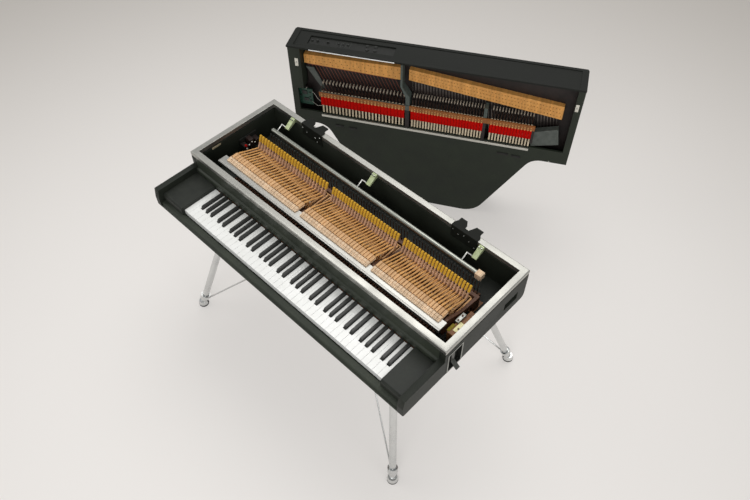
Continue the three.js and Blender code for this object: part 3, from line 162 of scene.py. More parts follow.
def stamp(bm, template, places):
    # copies of one small mesh, each put where its matrix says
    for place in places:
        before = len(bm.verts)
        bm.from_mesh(template)
        bm.verts.ensure_lookup_table()
        bmesh.ops.transform(bm, matrix=place, verts=bm.verts[before:])


def meshFrom(bm, name):
    mesh = bpy.data.meshes.new(name)
    bm.to_mesh(mesh)
    bm.free()
    return mesh


def finishPiece(bm, name, materials, body, slot, place=keyboardPlace, bevel=0, segments=2, stand=()):
    # a finished piece, riding on its body and standing in for the CAD nodes in stand
    if place:
        bmesh.ops.transform(bm, matrix=place, verts=bm.verts)
        bmesh.ops.recalc_face_normals(bm, faces=bm.faces)
    mesh = meshFrom(bm, name)
    piece = bpy.data.objects.new(name, mesh)
    bpy.context.scene.collection.objects.link(piece)
    for material in materials:
        mesh.materials.append(material)
    for face in mesh.polygons:
        face.use_smooth = True
    mesh.set_sharp_from_angle(angle=math.radians(surface["sharpAngle"]))
    if bevel:
        softEdge = piece.modifiers.new("softEdge", "BEVEL")
        softEdge.width = bevel * mm
        softEdge.segments = segments
        softEdge.limit_method = "ANGLE"
        softEdge.angle_limit = math.radians(surface["sharpAngle"])
        softEdge.harden_normals = True
    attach(piece, body)
    if stand:
        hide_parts(*stand)


def refineNode(
    node, name, materials, slot, bevel, pick=None, place=keyboardPlace, segments=2, shape=None
):
    # a CAD node copied, its flat faces joined and its edges softened; pick gives each
    # face's material from its middle, in millimetres, and shape changes the copy itself
    bm = bmesh.new()
    bm.from_mesh(nodes[node].data)
    bmesh.ops.remove_doubles(bm, verts=bm.verts, dist=surface["mergeWithin"])
    flat = math.radians(surface["flatAngle"])
    bmesh.ops.dissolve_limit(bm, angle_limit=flat, verts=bm.verts, edges=bm.edges)
    if shape:
        shape(bm)
    if pick:
        back = place.inverted()
        for face in bm.faces:
            face.material_index = pick(back @ face.calc_center_median())
    finishPiece(bm, name, materials, nodes[node]["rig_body"], slot, None, bevel, segments, [node])


# Finishes

# sizes in millimetres, then counts to a metre: about one tone to a key stick, and clouds of
# gloss about 110 mm wide on metal
finishes = {
    "grainSize": 3.0,
    "scuffPatch": 90,
    "woodFibre": 1.6,
    "brushedLine": 1.2,
    "sticksPerMetre": 95.0,
    "cloudsPerMetre": 9.0,
}


def vinylCloth(name, deep, raised, roughness):
    # pebble-grained vinyl glued on plywood: dull black with a soft, broken sheen, and painted shade
    # darkening the hollows between the pebbles. The real grain is about 1 mm and is drawn three times as
    # coarse, so that it shows.
    material, tree, shader = startMaterial(name, raised, roughness, 0.0, {"Specular IOR Level": 0.28})
    onPiece = addNode(tree, "ShaderNodeTexCoord").outputs["Object"]
    pebble = addNode(
        tree, "ShaderNodeTexVoronoi", {"Scale": perMetre(finishes["grainSize"])}, {"Vector": onPiece}
    )
    patch = addNode(
        tree, "ShaderNodeTexNoise",
        {"Scale": perMetre(finishes["scuffPatch"]), "Detail": 6.0, "Roughness": 0.62},
        {"Vector": onPiece},
    )
    spread = addNode(
        tree, "ShaderNodeMapRange", {"From Min": 0.3, "From Max": 0.72}, {"Value": patch.outputs["Fac"]}
    )
    tone = addNode(
        tree, "ShaderNodeMix", {"data_type": "RGBA", 6: linearFrom(deep), 7: linearFrom(raised)},
        {0: spread.outputs["Result"]},
    )
    # painted shade: the hollows between the pebbles are darkened to 72 percent of the tone
    paintedHollowShade = addNode(
        tree, "ShaderNodeMapRange", {"From Max": 0.6, "To Min": 1.0, "To Max": 0.72},
        {"Value": pebble.outputs["Distance"]},
    )
    shade = addNode(
        tree, "ShaderNodeMix", {"data_type": "RGBA", "blend_type": "MULTIPLY", 0: 1.0},
        {6: tone.outputs[2], 7: paintedHollowShade.outputs["Result"]},
    )
    worn = addNode(
        tree, "ShaderNodeMapRange", {"To Min": roughness - 0.07, "To Max": roughness + 0.1},
        {"Value": patch.outputs["Fac"]},
    )
    bump = addNode(
        tree, "ShaderNodeBump", {"invert": True, "Strength": 0.35, "Distance": 0.0004},
        {"Height": pebble.outputs["Distance"]},
    )
    tree.links.new(shade.outputs[2], shader.inputs["Base Color"])
    tree.links.new(worn.outputs["Result"], shader.inputs["Roughness"])
    tree.links.new(bump.outputs["Normal"], shader.inputs["Normal"])
    return material


def wood(name, pale, dark, roughness, grainTurn=(0, 0, 0), ring=(1.0, 0.05, 1.0)):
    # planed hardwood: fine fibres along the grain, and a slightly different tone from one
    # stick to the next
    material, tree, shader = startMaterial(name, pale, roughness, 0.0, {"Specular IOR Level": 0.35})
    onPiece = addNode(tree, "ShaderNodeTexCoord").outputs["Object"]
    turned = addNode(
        tree, "ShaderNodeMapping", {"Rotation": [math.radians(a) for a in grainTurn]}, {"Vector": onPiece}
    )
    stretched = addNode(tree, "ShaderNodeMapping", {"Scale": ring}, {"Vector": turned.outputs["Vector"]})
    fibre = addNode(
        tree, "ShaderNodeTexNoise",
        {"Scale": perMetre(finishes["woodFibre"]), "Detail": 4.0, "Roughness": 0.6},
        {"Vector": stretched.outputs["Vector"]},
    )
    bySticks = addNode(
        tree, "ShaderNodeMapping", {"Scale": (1.0, 0.02, 0.02)}, {"Vector": turned.outputs["Vector"]}
    )
    stickTone = addNode(
        tree, "ShaderNodeTexNoise", {"Scale": finishes["sticksPerMetre"], "Detail": 1.0},
        {"Vector": bySticks.outputs["Vector"]},
    )
    fibreMask = addNode(
        tree, "ShaderNodeMapRange", {"From Min": 0.35, "From Max": 0.7}, {"Value": fibre.outputs["Fac"]}
    )
    grained = addNode(
        tree, "ShaderNodeMix", {"data_type": "RGBA", 6: linearFrom(pale), 7: linearFrom(dark)},
        {0: fibreMask.outputs["Result"]},
    )
    lighter = addNode(
        tree, "ShaderNodeMapRange", {"From Min": 0.3, "From Max": 0.7, "To Min": 0.8, "To Max": 1.12},
        {"Value": stickTone.outputs["Fac"]},
    )
    toned = addNode(
        tree, "ShaderNodeMix", {"data_type": "RGBA", "blend_type": "MULTIPLY", 0: 1.0},
        {6: grained.outputs[2], 7: lighter.outputs["Result"]},
    )
    bump = addNode(
        tree, "ShaderNodeBump", {"Strength": 0.2, "Distance": 0.0002}, {"Height": fibre.outputs["Fac"]}
    )
    tree.links.new(toned.outputs[2], shader.inputs["Base Color"])
    tree.links.new(bump.outputs["Normal"], shader.inputs["Normal"])
    return material


def brushedMetal(name, color, roughness, lineTurn=(0, 0, 0)):
    # drawn or extruded metal: long fine lines that stretch the highlights
    material, tree, shader = startMaterial(name, color, roughness, 1.0)
    onPiece = addNode(tree, "ShaderNodeTexCoord").outputs["Object"]
    turned = addNode(
        tree, "ShaderNodeMapping", {"Rotation": [math.radians(a) for a in lineTurn]}, {"Vector": onPiece}
    )
    drawn = addNode(
        tree, "ShaderNodeMapping", {"Scale": (0.02, 1.0, 1.0)}, {"Vector": turned.outputs["Vector"]}
    )
    lines = addNode(
        tree, "ShaderNodeTexNoise", {"Scale": perMetre(finishes["brushedLine"]), "Detail": 3.0},
        {"Vector": drawn.outputs["Vector"]},
    )
    patch = addNode(
        tree, "ShaderNodeTexNoise", {"Scale": finishes["cloudsPerMetre"], "Detail": 4.0},
        {"Vector": onPiece},
    )
    gloss = addNode(
        tree, "ShaderNodeMapRange",
        {"From Min": 0.3, "From Max": 0.7, "To Min": roughness - 0.06, "To Max": roughness + 0.08},
        {"Value": patch.outputs["Fac"]},
    )
    dull = addNode(
        tree, "ShaderNodeMapRange", {"From Min": 0.3, "From Max": 0.7, "To Min": 0.9, "To Max": 1.05},
        {"Value": lines.outputs["Fac"]},
    )
    toned = addNode(
        tree, "ShaderNodeMix",
        {"data_type": "RGBA", "blend_type": "MULTIPLY", 0: 1.0, 6: linearFrom(color)},
        {7: dull.outputs["Result"]},
    )
    bump = addNode(
        tree, "ShaderNodeBump", {"Strength": 0.08, "Distance": 0.0001}, {"Height": lines.outputs["Fac"]}
    )
    tree.links.new(gloss.outputs["Result"], shader.inputs["Roughness"])
    tree.links.new(toned.outputs[2], shader.inputs["Base Color"])
    tree.links.new(bump.outputs["Normal"], shader.inputs["Normal"])
    return material


def mottled(name, color, other, roughness, metallic=0.0, patchSize=12, depth=0.15, sockets=None):
    # moulded, cast, plated or pressed surfaces: a faint cloud of tone and gloss
    material, tree, shader = startMaterial(name, color, roughness, metallic, sockets)
    onPiece = addNode(tree, "ShaderNodeTexCoord").outputs["Object"]
    cloud = addNode(
        tree, "ShaderNodeTexNoise", {"Scale": perMetre(patchSize), "Detail": 5.0, "Roughness": 0.6},
        {"Vector": onPiece},
    )
    mask = addNode(
        tree, "ShaderNodeMapRange", {"From Min": 0.32, "From Max": 0.68}, {"Value": cloud.outputs["Fac"]}
    )
    tone = addNode(
        tree, "ShaderNodeMix", {"data_type": "RGBA", 6: linearFrom(color), 7: linearFrom(other)},
        {0: mask.outputs["Result"]},
    )
    gloss = addNode(
        tree, "ShaderNodeMapRange", {"To Min": max(roughness - 0.06, 0.03), "To Max": roughness + 0.08},
        {"Value": cloud.outputs["Fac"]},
    )
    bump = addNode(
        tree, "ShaderNodeBump", {"Strength": depth, "Distance": 0.0003}, {"Height": cloud.outputs["Fac"]}
    )
    tree.links.new(tone.outputs[2], shader.inputs["Base Color"])
    tree.links.new(gloss.outputs["Result"], shader.inputs["Roughness"])
    tree.links.new(bump.outputs["Normal"], shader.inputs["Normal"])
    return material


harpTurn = (0, 0, -harp["turn"])
# after the colours of a mottled finish come its roughness, its metallic, the width of its
# patches in millimetres and the strength of its relief

# vinyl cloth: one near-black cloth in lit and shaded copies, as painted light and shade: a little
# paler on the harp section's sides, palest on the slip and the fallboard, darkest on the harp section's top
blackVinyl = vinylCloth("blackVinylCloth", "#1D211A", "#272B23", 0.52)
harpVinylPaintedLight = vinylCloth("harpVinylClothPaintedLight", "#252B22", "#30372B", 0.55)
harpTopVinylPaintedShade = vinylCloth("harpTopVinylClothPaintedShade", "#12140F", "#191C16", 0.6)
slipVinylPaintedLight = vinylCloth("slipVinylClothPaintedLight", "#333830", "#40453A", 0.46)
# plain vinyl on the cheek blocks: no grain, and a low even shine
smoothBlack = mottled(
    "smoothBlackVinyl", "#1D201B", "#272A24", 0.5, 0.0, 30, 0.06, {"Specular IOR Level": 0.32}
)
# anodised and drawn aluminium: a pale satin shine, drawn out along each length
satinRim = brushedMetal("anodisedAluminiumRim", "#B3B2AC", 0.42)
satinRail = brushedMetal("anodisedAluminiumRail", "#B9B8B3", 0.42)
liftTube = brushedMetal("drawnAluminiumTube", "#9B9D95", 0.38)
harpRail = brushedMetal("anodisedAluminiumHarpRail", "#C9C8C0", 0.45, harpTurn)
# moulded ABS: an even colour with a soft shine; the tops are polished by fingers
whiteAbs = mottled(
    "whiteKeyAbs", "#F1F1EE", "#E9E9E5", 0.24, 0.0, 60, 0.03, {"Coat Weight": 0.3, "Coat Roughness": 0.1}
)
blackAbs = mottled("blackKeyAbs", "#161714", "#1F201D", 0.36, 0.0, 25, 0.06)
mouldedBlack = mottled("mouldedBlackAbs", "#141512", "#1E1F1B", 0.5, 0.0, 8, 0.1)
# oiled and bare woods of the action: warm, matt and finely streaked
# the key sticks are oiled wood painted darker than it, as painted shade for the slot they are seen in
stickWoodPaintedShade = wood("oiledKeyStickPaintedShade", "#6E4A31", "#4B2F20", 0.7)
hornbeam = wood("hornbeamShank", "#DDAA6A", "#BC8648", 0.6)
flangeMaple = wood("mapleFlange", "#D9AF80", "#BE9060", 0.62)
palePear = wood("pearFlange", "#E2C8AA", "#CFAE8A", 0.62)
darkPear = wood("pearHammerMoulding", "#CDA587", "#A67C5E", 0.6)
# the wippens' pear is painted paler than the wood, as painted light on their shaded place under the shanks
wippenPearPaintedLight = wood("pearWippenPaintedLight", "#EFC08A", "#CC945A", 0.6)
# stained or varnished woods: redder and a little glossier, the pin blocks golden
stainedBeech = wood("stainedBeechFrame", "#8E5E34", "#643D1F", 0.5)
harpBeech = wood("varnishedBeechRail", "#A0622E", "#784620", 0.45, harpTurn, (0.05, 1.0, 1.0))
flangeBeech = wood("beechDamperFlange", "#DDA468", "#BC8348", 0.5, harpTurn)
pinMaple = wood("varnishedMaplePinBlock", "#E3A75C", "#CB8B44", 0.4, harpTurn, (0.05, 1.0, 1.0))
# chamois leather over felt: dull, warm yellow, slightly fluffy
buckskin = mottled("yellowBuckskin", "#D6A722", "#B58614", 0.85, 0.0, 3, 0.4, {"Sheen Weight": 0.1})
# pressed felt: no shine at all
redFelt = mottled("redPressedFelt", "#D30C05", "#A30703", 0.95, 0.0, 3, 0.5, {"Specular IOR Level": 0.1})
whiteFelt = mottled("whitePressedFelt", "#B7AB99", "#9C9080", 0.95, 0.0, 3, 0.5)
# limewood: pale and even, its fibres along the levers
leverWood = wood("limeDamperLever", "#E0D2B8", "#C5B18F", 0.6, harpTurn, (1.0, 1.0, 0.05))
# chrome mirrors the room; zinc plate is duller, with a yellow-green tint
chrome = mottled("chromePlate", "#D9DAD9", "#C9CAC9", 0.26, 1.0, 90, 0.02)
yellowZinc = mottled("passivatedZincPlate", "#C3CDA4", "#9DA97C", 0.45, 0.5, 9, 0.06)
# enamel, lacquer and paint on steel and castings: dull, thick and slightly uneven
satinBlack = mottled(
    "satinBlackEnamel", "#121310", "#1C1D19", 0.5, 0.0, 12, 0.08, {"Specular IOR Level": 0.35}
)
hookBlack = mottled(
    "blackLacquerPlate", "#0D0F0B", "#161812", 0.62, 0.0, 12, 0.08, {"Specular IOR Level": 0.2}
)
brownEnamel = mottled("brownEnamelCasting", "#6A452F", "#4A2F1E", 0.55, 0.0, 10, 0.2)
relayBrown = mottled("brownRelayPlate", "#2E1C17", "#170F0C", 0.45, 0.0, 14, 0.1)
greyEnamel = mottled("greyEnamelCasting", "#4F5853", "#3C443F", 0.5, 0.0, 10, 0.2)
paleEnamel = mottled("paleGreyEnamelPlate", "#555A55", "#434843", 0.5, 0.0, 20, 0.1)
darkIron = mottled("paintedIronPlate", "#231815", "#15100E", 0.6, 0.1, 30, 0.2)
# strings: thin bright lines, reddish where they are wound
copperWound = brushedMetal("copperWoundString", "#8A5344", 0.4, harpTurn)
plainWire = brushedMetal("plainSteelString", "#8E8680", 0.32, harpTurn)
# small steel: browned pins and screws, and bright zinc heads that catch the light
bluedSteel = mottled("bluedSteelPin", "#4A2E1C", "#33221A", 0.4, 0.6, 4, 0.05)
tuningSteel = mottled("tarnishedTuningPin", "#A87840", "#835728", 0.45, 0.3, 4, 0.05)
brightSteel = mottled("brightZincScrew", "#C9C9C4", "#A9AAA4", 0.3, 1.0, 5, 0.05)
# rubber, solder mask, enamel, felt and nylon: flat colours, each with its own dull shine
rubber = mottled("blackRubber", "#20211F", "#2B2C29", 0.8, 0.0, 6, 0.2)
boardGreen = mottled("solderMaskBoard", "#1B4A38", "#13352A", 0.45, 0.0, 7, 0.1)
creamPaint = mottled("creamEnamelPlate", "#F3ECB8", "#E6DC9C", 0.4, 0.0, 15, 0.05)
beigePlate = mottled("beigeEnamelPlate", "#A0957C", "#857A62", 0.5, 0.0, 15, 0.05)
oliveFelt = mottled("oliveFelt", "#8A7A22", "#6B5D16", 0.95, 0.0, 3, 0.4)
wireWhite = mottled("whiteWireJacket", "#D9D6CC", "#C6C2B6", 0.5, 0.0, 6, 0.05)
nylon = mottled("whiteNylonConnector", "#E8E4D8", "#D4CFC0", 0.5, 0.0, 6, 0.05)
# small bright metal: smooth, with narrow highlights
whiteRod = mottled("nickelPlatedRod", "#E4E3DE", "#D2D1CB", 0.25, 0.7, 10, 0.03)
paleEdge = mottled("bareSteelEdge", "#9C9D98", "#85867F", 0.35, 0.8, 10, 0.05)
leverSteel = mottled("darkZincLever", "#5C5D58", "#494A46", 0.38, 0.7, 8, 0.06)
# the front strip is near white and barely metallic: the polished aluminium's bright reflection is a painted
# highlight
stripPaintedHighlight = mottled("aluminiumStripPaintedHighlight", "#FAFAF8", "#F2F2EF", 0.3, 0.1, 80, 0.02)
print("finishes made")


# Camera, light and floor

# fitted to the photograph: its place in millimetres, its angles in degrees and its shift in
# pixels of a picture 750 wide
view = {
    "place": (1200.2, -707.1, 1880.7),
    "turn": 45.14,
    "above": 51.5,
    "roll": -1.5,
    "lens": 32.77,
    "sensor": 36,
    "shift": (2.07, -2.08),
    "pictureWidth": 750,
    "reach": 120,
}


def makeCamera():
    camera = bpy.data.cameras.new("camera")
    camera.lens = view["lens"]
    camera.sensor_width = view["sensor"]
    camera.shift_x = view["shift"][0] / view["pictureWidth"]
    camera.shift_y = view["shift"][1] / view["pictureWidth"]
    camera.clip_end = view["reach"]
    looker = bpy.data.objects.new("camera", camera)
    bpy.context.scene.collection.objects.link(looker)
    looker.matrix_world = (
        Matrix.Translation(keyboardPlace @ Vector(view["place"]))
        @ Matrix.Rotation(math.radians(view["turn"]), 4, "Z")
        @ Matrix.Rotation(math.radians(90 - view["above"]), 4, "X")
        @ Matrix.Rotation(math.radians(view["roll"]), 4, "Z")
    )
    bpy.context.scene.camera = looker


studio = {
    # the far floor colour is painted shade, where the light falls off away from the camera
    "floorNear": "#B0ADAA",
    "floorPaintedShadeFar": "#8A8681",
    "floorMiddle": (0.3, -0.8, 0.0),
    "floorReach": (0.8, 4.6),
    "floorRoughness": 0.9,
    "floorGlow": 0.9,
    "floorSize": 40,
    "world": "#F8F9FA",
    "backdrop": "#A6A29C",
    "worldStrength": 0.47,
    "lamps": [
        {"at": (-0.6, 1.3, 4.5), "aim": (0, 0, 0.5), "size": 3.4, "watts": 82, "color": "#FFFEFC"},
        {"at": (-3.0, -2.0, 3.2), "aim": (0, 0, 0.6), "size": 2.8, "watts": 24, "color": "#FFFDFA"},
        {"at": (2.2, -3.6, 3.2), "aim": (0, 0, 0.6), "size": 3.0, "watts": 72, "color": "#FFFFFF"},
        {"at": (6.8, -1.0, 1.9), "aim": (0, 0, 0.7), "size": 3.9, "watts": 86, "color": "#FFFFFF"},
    ],
}


def floorPaint():
    # matt paint with painted shade: it falls away to a darker grey far from a point in front of the
    # keyboard, standing in for the light falling off across the floor. The glow lights nothing: the camera
    # and the metal see it, and it thins the shadows as a white studio does.
    near, far = studio["floorReach"]
    material, tree, shader = startMaterial("mattFloorPaint", studio["floorNear"], studio["floorRoughness"])
    coords = addNode(tree, "ShaderNodeTexCoord")
    away = addNode(
        tree, "ShaderNodeVectorMath", {"operation": "DISTANCE", 1: studio["floorMiddle"]},
        {0: coords.outputs["Object"]},
    )
    fall = addNode(
        tree, "ShaderNodeMapRange", {"interpolation_type": "SMOOTHSTEP", "From Min": near, "From Max": far},
        {"Value": away.outputs["Value"]},
    )
    tone = addNode(
        tree, "ShaderNodeMix",
        {"data_type": "RGBA", 6: linearFrom(studio["floorNear"]), 7: linearFrom(studio["floorPaintedShadeFar"])},
        {0: fall.outputs["Result"]},
    )
    seen = addNode(tree, "ShaderNodeLightPath")
    straight = addNode(
        tree, "ShaderNodeMath", {"operation": "ADD"},
        {0: seen.outputs["Is Camera Ray"], 1: seen.outputs["Is Glossy Ray"]},
    )
    seenAny = addNode(
        tree, "ShaderNodeMath", {"operation": "ADD", "use_clamp": True},
        {0: straight.outputs["Value"], 1: seen.outputs["Is Transmission Ray"]},
    )
    glow = addNode(
        tree, "ShaderNodeMath", {"operation": "MULTIPLY", 1: studio["floorGlow"]},
        {0: seenAny.outputs["Value"]},
    )
    tree.links.new(tone.outputs[2], shader.inputs["Base Color"])
    tree.links.new(tone.outputs[2], shader.inputs["Emission Color"])
    tree.links.new(glow.outputs["Value"], shader.inputs["Emission Strength"])
    return material


def makeSky():
    # the light comes from one even sky, and the camera sees a plain backdrop in its place
    world = bpy.data.worlds.new("studio")
    bpy.context.scene.world = world
    world.use_nodes = True
    tree = world.node_tree
    sky = tree.nodes["Background"]
    sky.inputs["Color"].default_value = linearFrom(studio["world"])
    sky.inputs["Strength"].default_value = studio["worldStrength"]
    backdrop = addNode(tree, "ShaderNodeBackground", {"Color": linearFrom(studio["backdrop"])})
    seen = addNode(tree, "ShaderNodeLightPath")
    either = addNode(tree, "ShaderNodeMixShader", None, {0: seen.outputs["Is Camera Ray"]})
    tree.links.new(sky.outputs[0], either.inputs[1])
    tree.links.new(backdrop.outputs[0], either.inputs[2])
    tree.links.new(either.outputs[0], tree.nodes["World Output"].inputs["Surface"])


def makeLamps():
    for i, lamp in enumerate(studio["lamps"]):
        light = bpy.data.lights.new("softLamp" + str(i), "AREA")
        light.shape = "DISK"
        light.size = lamp["size"]
        light.energy = lamp["watts"]
        light.color = linearFrom(lamp["color"])[:3]
        holder = bpy.data.objects.new("softLamp" + str(i), light)
        bpy.context.scene.collection.objects.link(holder)
        holder.location = lamp["at"]
        aim = Vector(lamp["aim"]) - Vector(lamp["at"])
        holder.rotation_euler = aim.to_track_quat("-Z", "Y").to_euler()


def makeFloor():
    bm = bmesh.new()
    bmesh.ops.create_grid(bm, x_segments=1, y_segments=1, size=studio["floorSize"])
    floor = bpy.data.objects.new("studioFloor", meshFrom(bm, "studioFloor"))
    bpy.context.scene.collection.objects.link(floor)
    floor.data.materials.append(floorPaint())


makeCamera()
makeSky()
makeLamps()
makeFloor()
bpy.context.scene.view_settings.view_transform = "Standard"
print("camera and studio made")


# Keys

# in millimetres: the peg wires lie behind front and above low, only their tops are above top,
# and shortest is less than their height
pegs = {
    "front": 434,
    "low": -2,
    "top": 79,
    "shortest": 10,
    "thinning": 0.4,
    "buttonRadius": 3.1,
    "buttonTopRadius": 2.4,
    "buttonHeight": 6,
}
keyKinds = {
    "white": {"plastic": whiteAbs, "woodFrom": 144.5, "bevel": 0.7, "segments": 2},
    "black": {"plastic": blackAbs, "woodFrom": 145.5, "bevel": 1.0, "segments": 3},
}


def keyFaces(woodFrom):
    # moulded tops in front, oiled sticks behind, steel wires for the pegs
    def pick(middle):
        if middle.y > pegs["front"] and middle.z > pegs["low"]:
            return 2
        return 1 if middle.y > woodFrom else 0

    return pick


def thinPegs(bm):
    # the block pegs of the solids become wires; returns where their tops are
    back = keyboardPlace.inverted()
    tops = []
    for face in bm.faces:
        centre = face.calc_center_median()
        middle = back @ centre
        if middle.y < pegs["front"] or middle.z < pegs["top"]:
            continue
        tops.append((middle.x, middle.y, middle.z))
        for vert in face.verts:
            others = [edge.other_vert(vert) for edge in vert.link_edges]
            lower = [other for other in others if other.co.z < vert.co.z - pegs["shortest"] * mm]
            for moved in [vert] + lower:
                moved.co.x = centre.x + (moved.co.x - centre.x) * pegs["thinning"]
                moved.co.y = centre.y + (moved.co.y - centre.y) * pegs["thinning"]
    return tops


def makeKeys():
    for section in sectionNames:
        buttons = bmesh.new()
        for kind, key in keyKinds.items():
            tops = []
            node, name = kind + "_keys_" + section, kind + "Keys_" + section
            refineNode(
                node, name, [key["plastic"], stickWoodPaintedShade, bluedSteel], kind + "_keys", key["bevel"],
                keyFaces(key["woodFrom"]), segments=key["segments"],
                shape=lambda bm: tops.extend(thinPegs(bm)),
            )
            for x, y, z in tops:
                low = z - pegs["buttonHeight"]
                addRod(buttons, (x, y, low), (x, y, z), pegs["buttonRadius"], 8, pegs["buttonTopRadius"])
        finishPiece(buttons, "keyButtons_" + section, [rubber], "keys_" + section, "black_keys")
    print("keys made")


# Hammers, flanges and wippens

# each hammer is laid out from its pivot, y along its shank and z up, then sloped
hammers = {
    "counts": [25, 25, 23],
    "firstX": [-500.5, -95.49, 250.55],
    "pitch": [15.329, 13.08, 12.77],
    "pivotY": 285,
    "pivotRise": 84,
    "slope": -20.3,
    "width": 7.6,
    "hubY": (-4.3, 17),
    "hubHalf": 2.9,
    "hubRound": 1.0,
    "shankStart": 15,
    "shankEnd": 96,
    "shankRadius": 2.9,
    "headY": (90.5, 102.3),
    "headMiddle": 97.3,
    "headLow": -7.5,
    "headWidthShare": 0.72,
    "headDepthShare": 0.5,
    "headRound": 0.9,
    "leatherY": (93.6, 101.2),
    "leatherFrom": 28,
    "leatherLap": 2,
    "leatherRound": 3.4,
    "headTop": 56,
    "knuckleY": 21,
    "knuckleRadius": 3.6,
    "knuckleInset": 0.6,
    "pinHalf": 5,
    "pinRadius": 0.9,
}


def hammerTurn(x):
    pivot = Matrix.Translation((x, hammers["pivotY"], hammers["pivotRise"]))
    return pivot @ Matrix.Rotation(math.radians(hammers["slope"]), 4, "X")


def hammerPlaces(index):
    first, pitch = hammers["firstX"][index], hammers["pitch"][index]
    return [first + i * pitch for i in range(hammers["counts"][index])]


def shankTemplate():
    bm = bmesh.new()
    hubX, hubZ = around(0, hammers["width"] / 2), around(0, hammers["hubHalf"])
    addBlock(bm, hubX, hammers["hubY"], hubZ, hammers["hubRound"], 1)
    addRod(bm, (0, hammers["shankStart"], 0), (0, hammers["shankEnd"], 0), hammers["shankRadius"], 8)
    return meshFrom(bm, "shankTemplate")


def mouldingTemplate():
    # the wooden head: deep and wide at its tail, thinner up towards the leather
    bm = bmesh.new()
    top = hammers["leatherFrom"] + hammers["leatherLap"]
    middle = hammers["headMiddle"]
    verts = addBlock(bm, around(0, hammers["width"] / 2), hammers["headY"], (hammers["headLow"], top))
    for vert in verts:
        if vert.co.z > 0:
            vert.co.x *= hammers["headWidthShare"]
            vert.co.y = middle + (vert.co.y - middle) * hammers["headDepthShare"]
    roundEdges(bm, bm.edges[:], hammers["headRound"])
    return meshFrom(bm, "mouldingTemplate")


def leatherTemplate():
    # a strip of leather folded over the striking edge, so the top is round from back to front
    bm = bmesh.new()
    half = hammers["width"] / 2
    low, top = hammers["leatherFrom"], hammers["headTop"]
    addBlock(bm, around(0, half), hammers["leatherY"], (low, top))
    topEdges = []
    for edge in bm.edges:
        first, second = edge.verts
        isHigh = min(first.co.z, second.co.z) > (low + top) / 2
        if isHigh and abs(first.co.x - second.co.x) > half:
            topEdges.append(edge)
    roundEdges(bm, topEdges, hammers["leatherRound"], 4)
    return meshFrom(bm, "leatherTemplate")


def knuckleTemplate():
    bm = bmesh.new()
    half = hammers["width"] / 2 - hammers["knuckleInset"]
    y, radius = hammers["knuckleY"], hammers["knuckleRadius"]
    addRod(bm, (-half, y, -radius), (half, y, -radius), radius, 10)
    return meshFrom(bm, "knuckleTemplate")


def pinTemplate():
    bm = bmesh.new()
    addRod(bm, (-hammers["pinHalf"], 0, 0), (hammers["pinHalf"], 0, 0), hammers["pinRadius"], 6)
    return meshFrom(bm, "pinTemplate")


def makeHammers():
    templates = [
        ("hammerShanks_", shankTemplate(), hornbeam, True),
        ("hammerMouldings_", mouldingTemplate(), darkPear, False),
        ("hammerLeathers_", leatherTemplate(), buckskin, False),
        ("hammerKnuckles_", knuckleTemplate(), whiteFelt, False),
        ("hammerPins_", pinTemplate(), bluedSteel, False),
    ]
    for index, section in enumerate(sectionNames):
        places = [hammerTurn(x) for x in hammerPlaces(index)]
        for name, template, material, stands in templates:
            bm = bmesh.new()
            stamp(bm, template, places)
            stand = ["hammers_" + section] if stands else []
            finishPiece(bm, name + section, [material], "hammers_" + section, "action_wood", stand=stand)
    print("hammers made")


# forks behind the seam, lips in front of it, and a wooden base under each row
flanges = {
    "lip": 229,
    "front": 239,
    "back": 279,
    "low": 80,
    "lipHigh": 86,
    "high": 89,
    "widthShare": 0.81,
    "lipShare": 0.92,
    "seamY": 251,
    "seamGap": 0.6,
    "lap": 1,
    "round": 1.2,
    "noseRound": 0.8,
    "baseInset": 2,
    "baseZ": (79.4, 82.4),
    "screwSink": 1.5,
    "screwProud": 0.6,
    "screwRadius": 2.3,
    "screwEndRadius": 1.9,
    "lipScrewIn": 4.5,
    "lipScrewSink": 1,
    "lipScrewProud": 0.5,
    "lipScrewRadius": 1.2,
}


def flangeTemplate(width):
    # the wooden fork that each shank turns in
    bm = bmesh.new()
    deep, high = (flanges["seamY"], flanges["back"]), (flanges["low"], flanges["high"])
    addBlock(bm, around(0, width / 2), deep, high, flanges["round"], 2)
    return meshFrom(bm, "flangeTemplate")


def lipTemplate(width):
    # the flange's paler front, lower at its nose
    bm = bmesh.new()
    wide, low = around(0, width / 2), flanges["low"]
    blockY = (flanges["front"], flanges["seamY"] - flanges["seamGap"])
    noseY = (flanges["lip"], flanges["front"] + flanges["lap"])
    addBlock(bm, wide, blockY, (low, flanges["high"]), flanges["round"], 1)
    addBlock(bm, wide, noseY, (low, flanges["lipHigh"]), flanges["noseRound"], 1)
    return meshFrom(bm, "lipTemplate")


def screwTemplate():
    bm = bmesh.new()
    high, y = flanges["high"], flanges["seamY"]
    low, top = high - flanges["screwSink"], high + flanges["screwProud"]
    addRod(bm, (0, y, low), (0, y, top), flanges["screwRadius"], 10, flanges["screwEndRadius"])
    high, y = flanges["lipHigh"], flanges["lip"] + flanges["lipScrewIn"]
    low, top = high - flanges["lipScrewSink"], high + flanges["lipScrewProud"]
    addRod(bm, (0, y, low), (0, y, top), flanges["lipScrewRadius"], 8)
    return meshFrom(bm, "screwTemplate")


# an extrusion, its profile given as y and z from the front foot round to the top of the front
hammerRail = {
    "left": -535,
    "right": 558,
    "bevel": 0.6,
    "profile": [
        (207, 66), (211, 66), (211, 70), (247, 70), (247, 80),
        (214, 80), (213, 79), (211, 79), (210, 80), (207, 80),
    ],
}


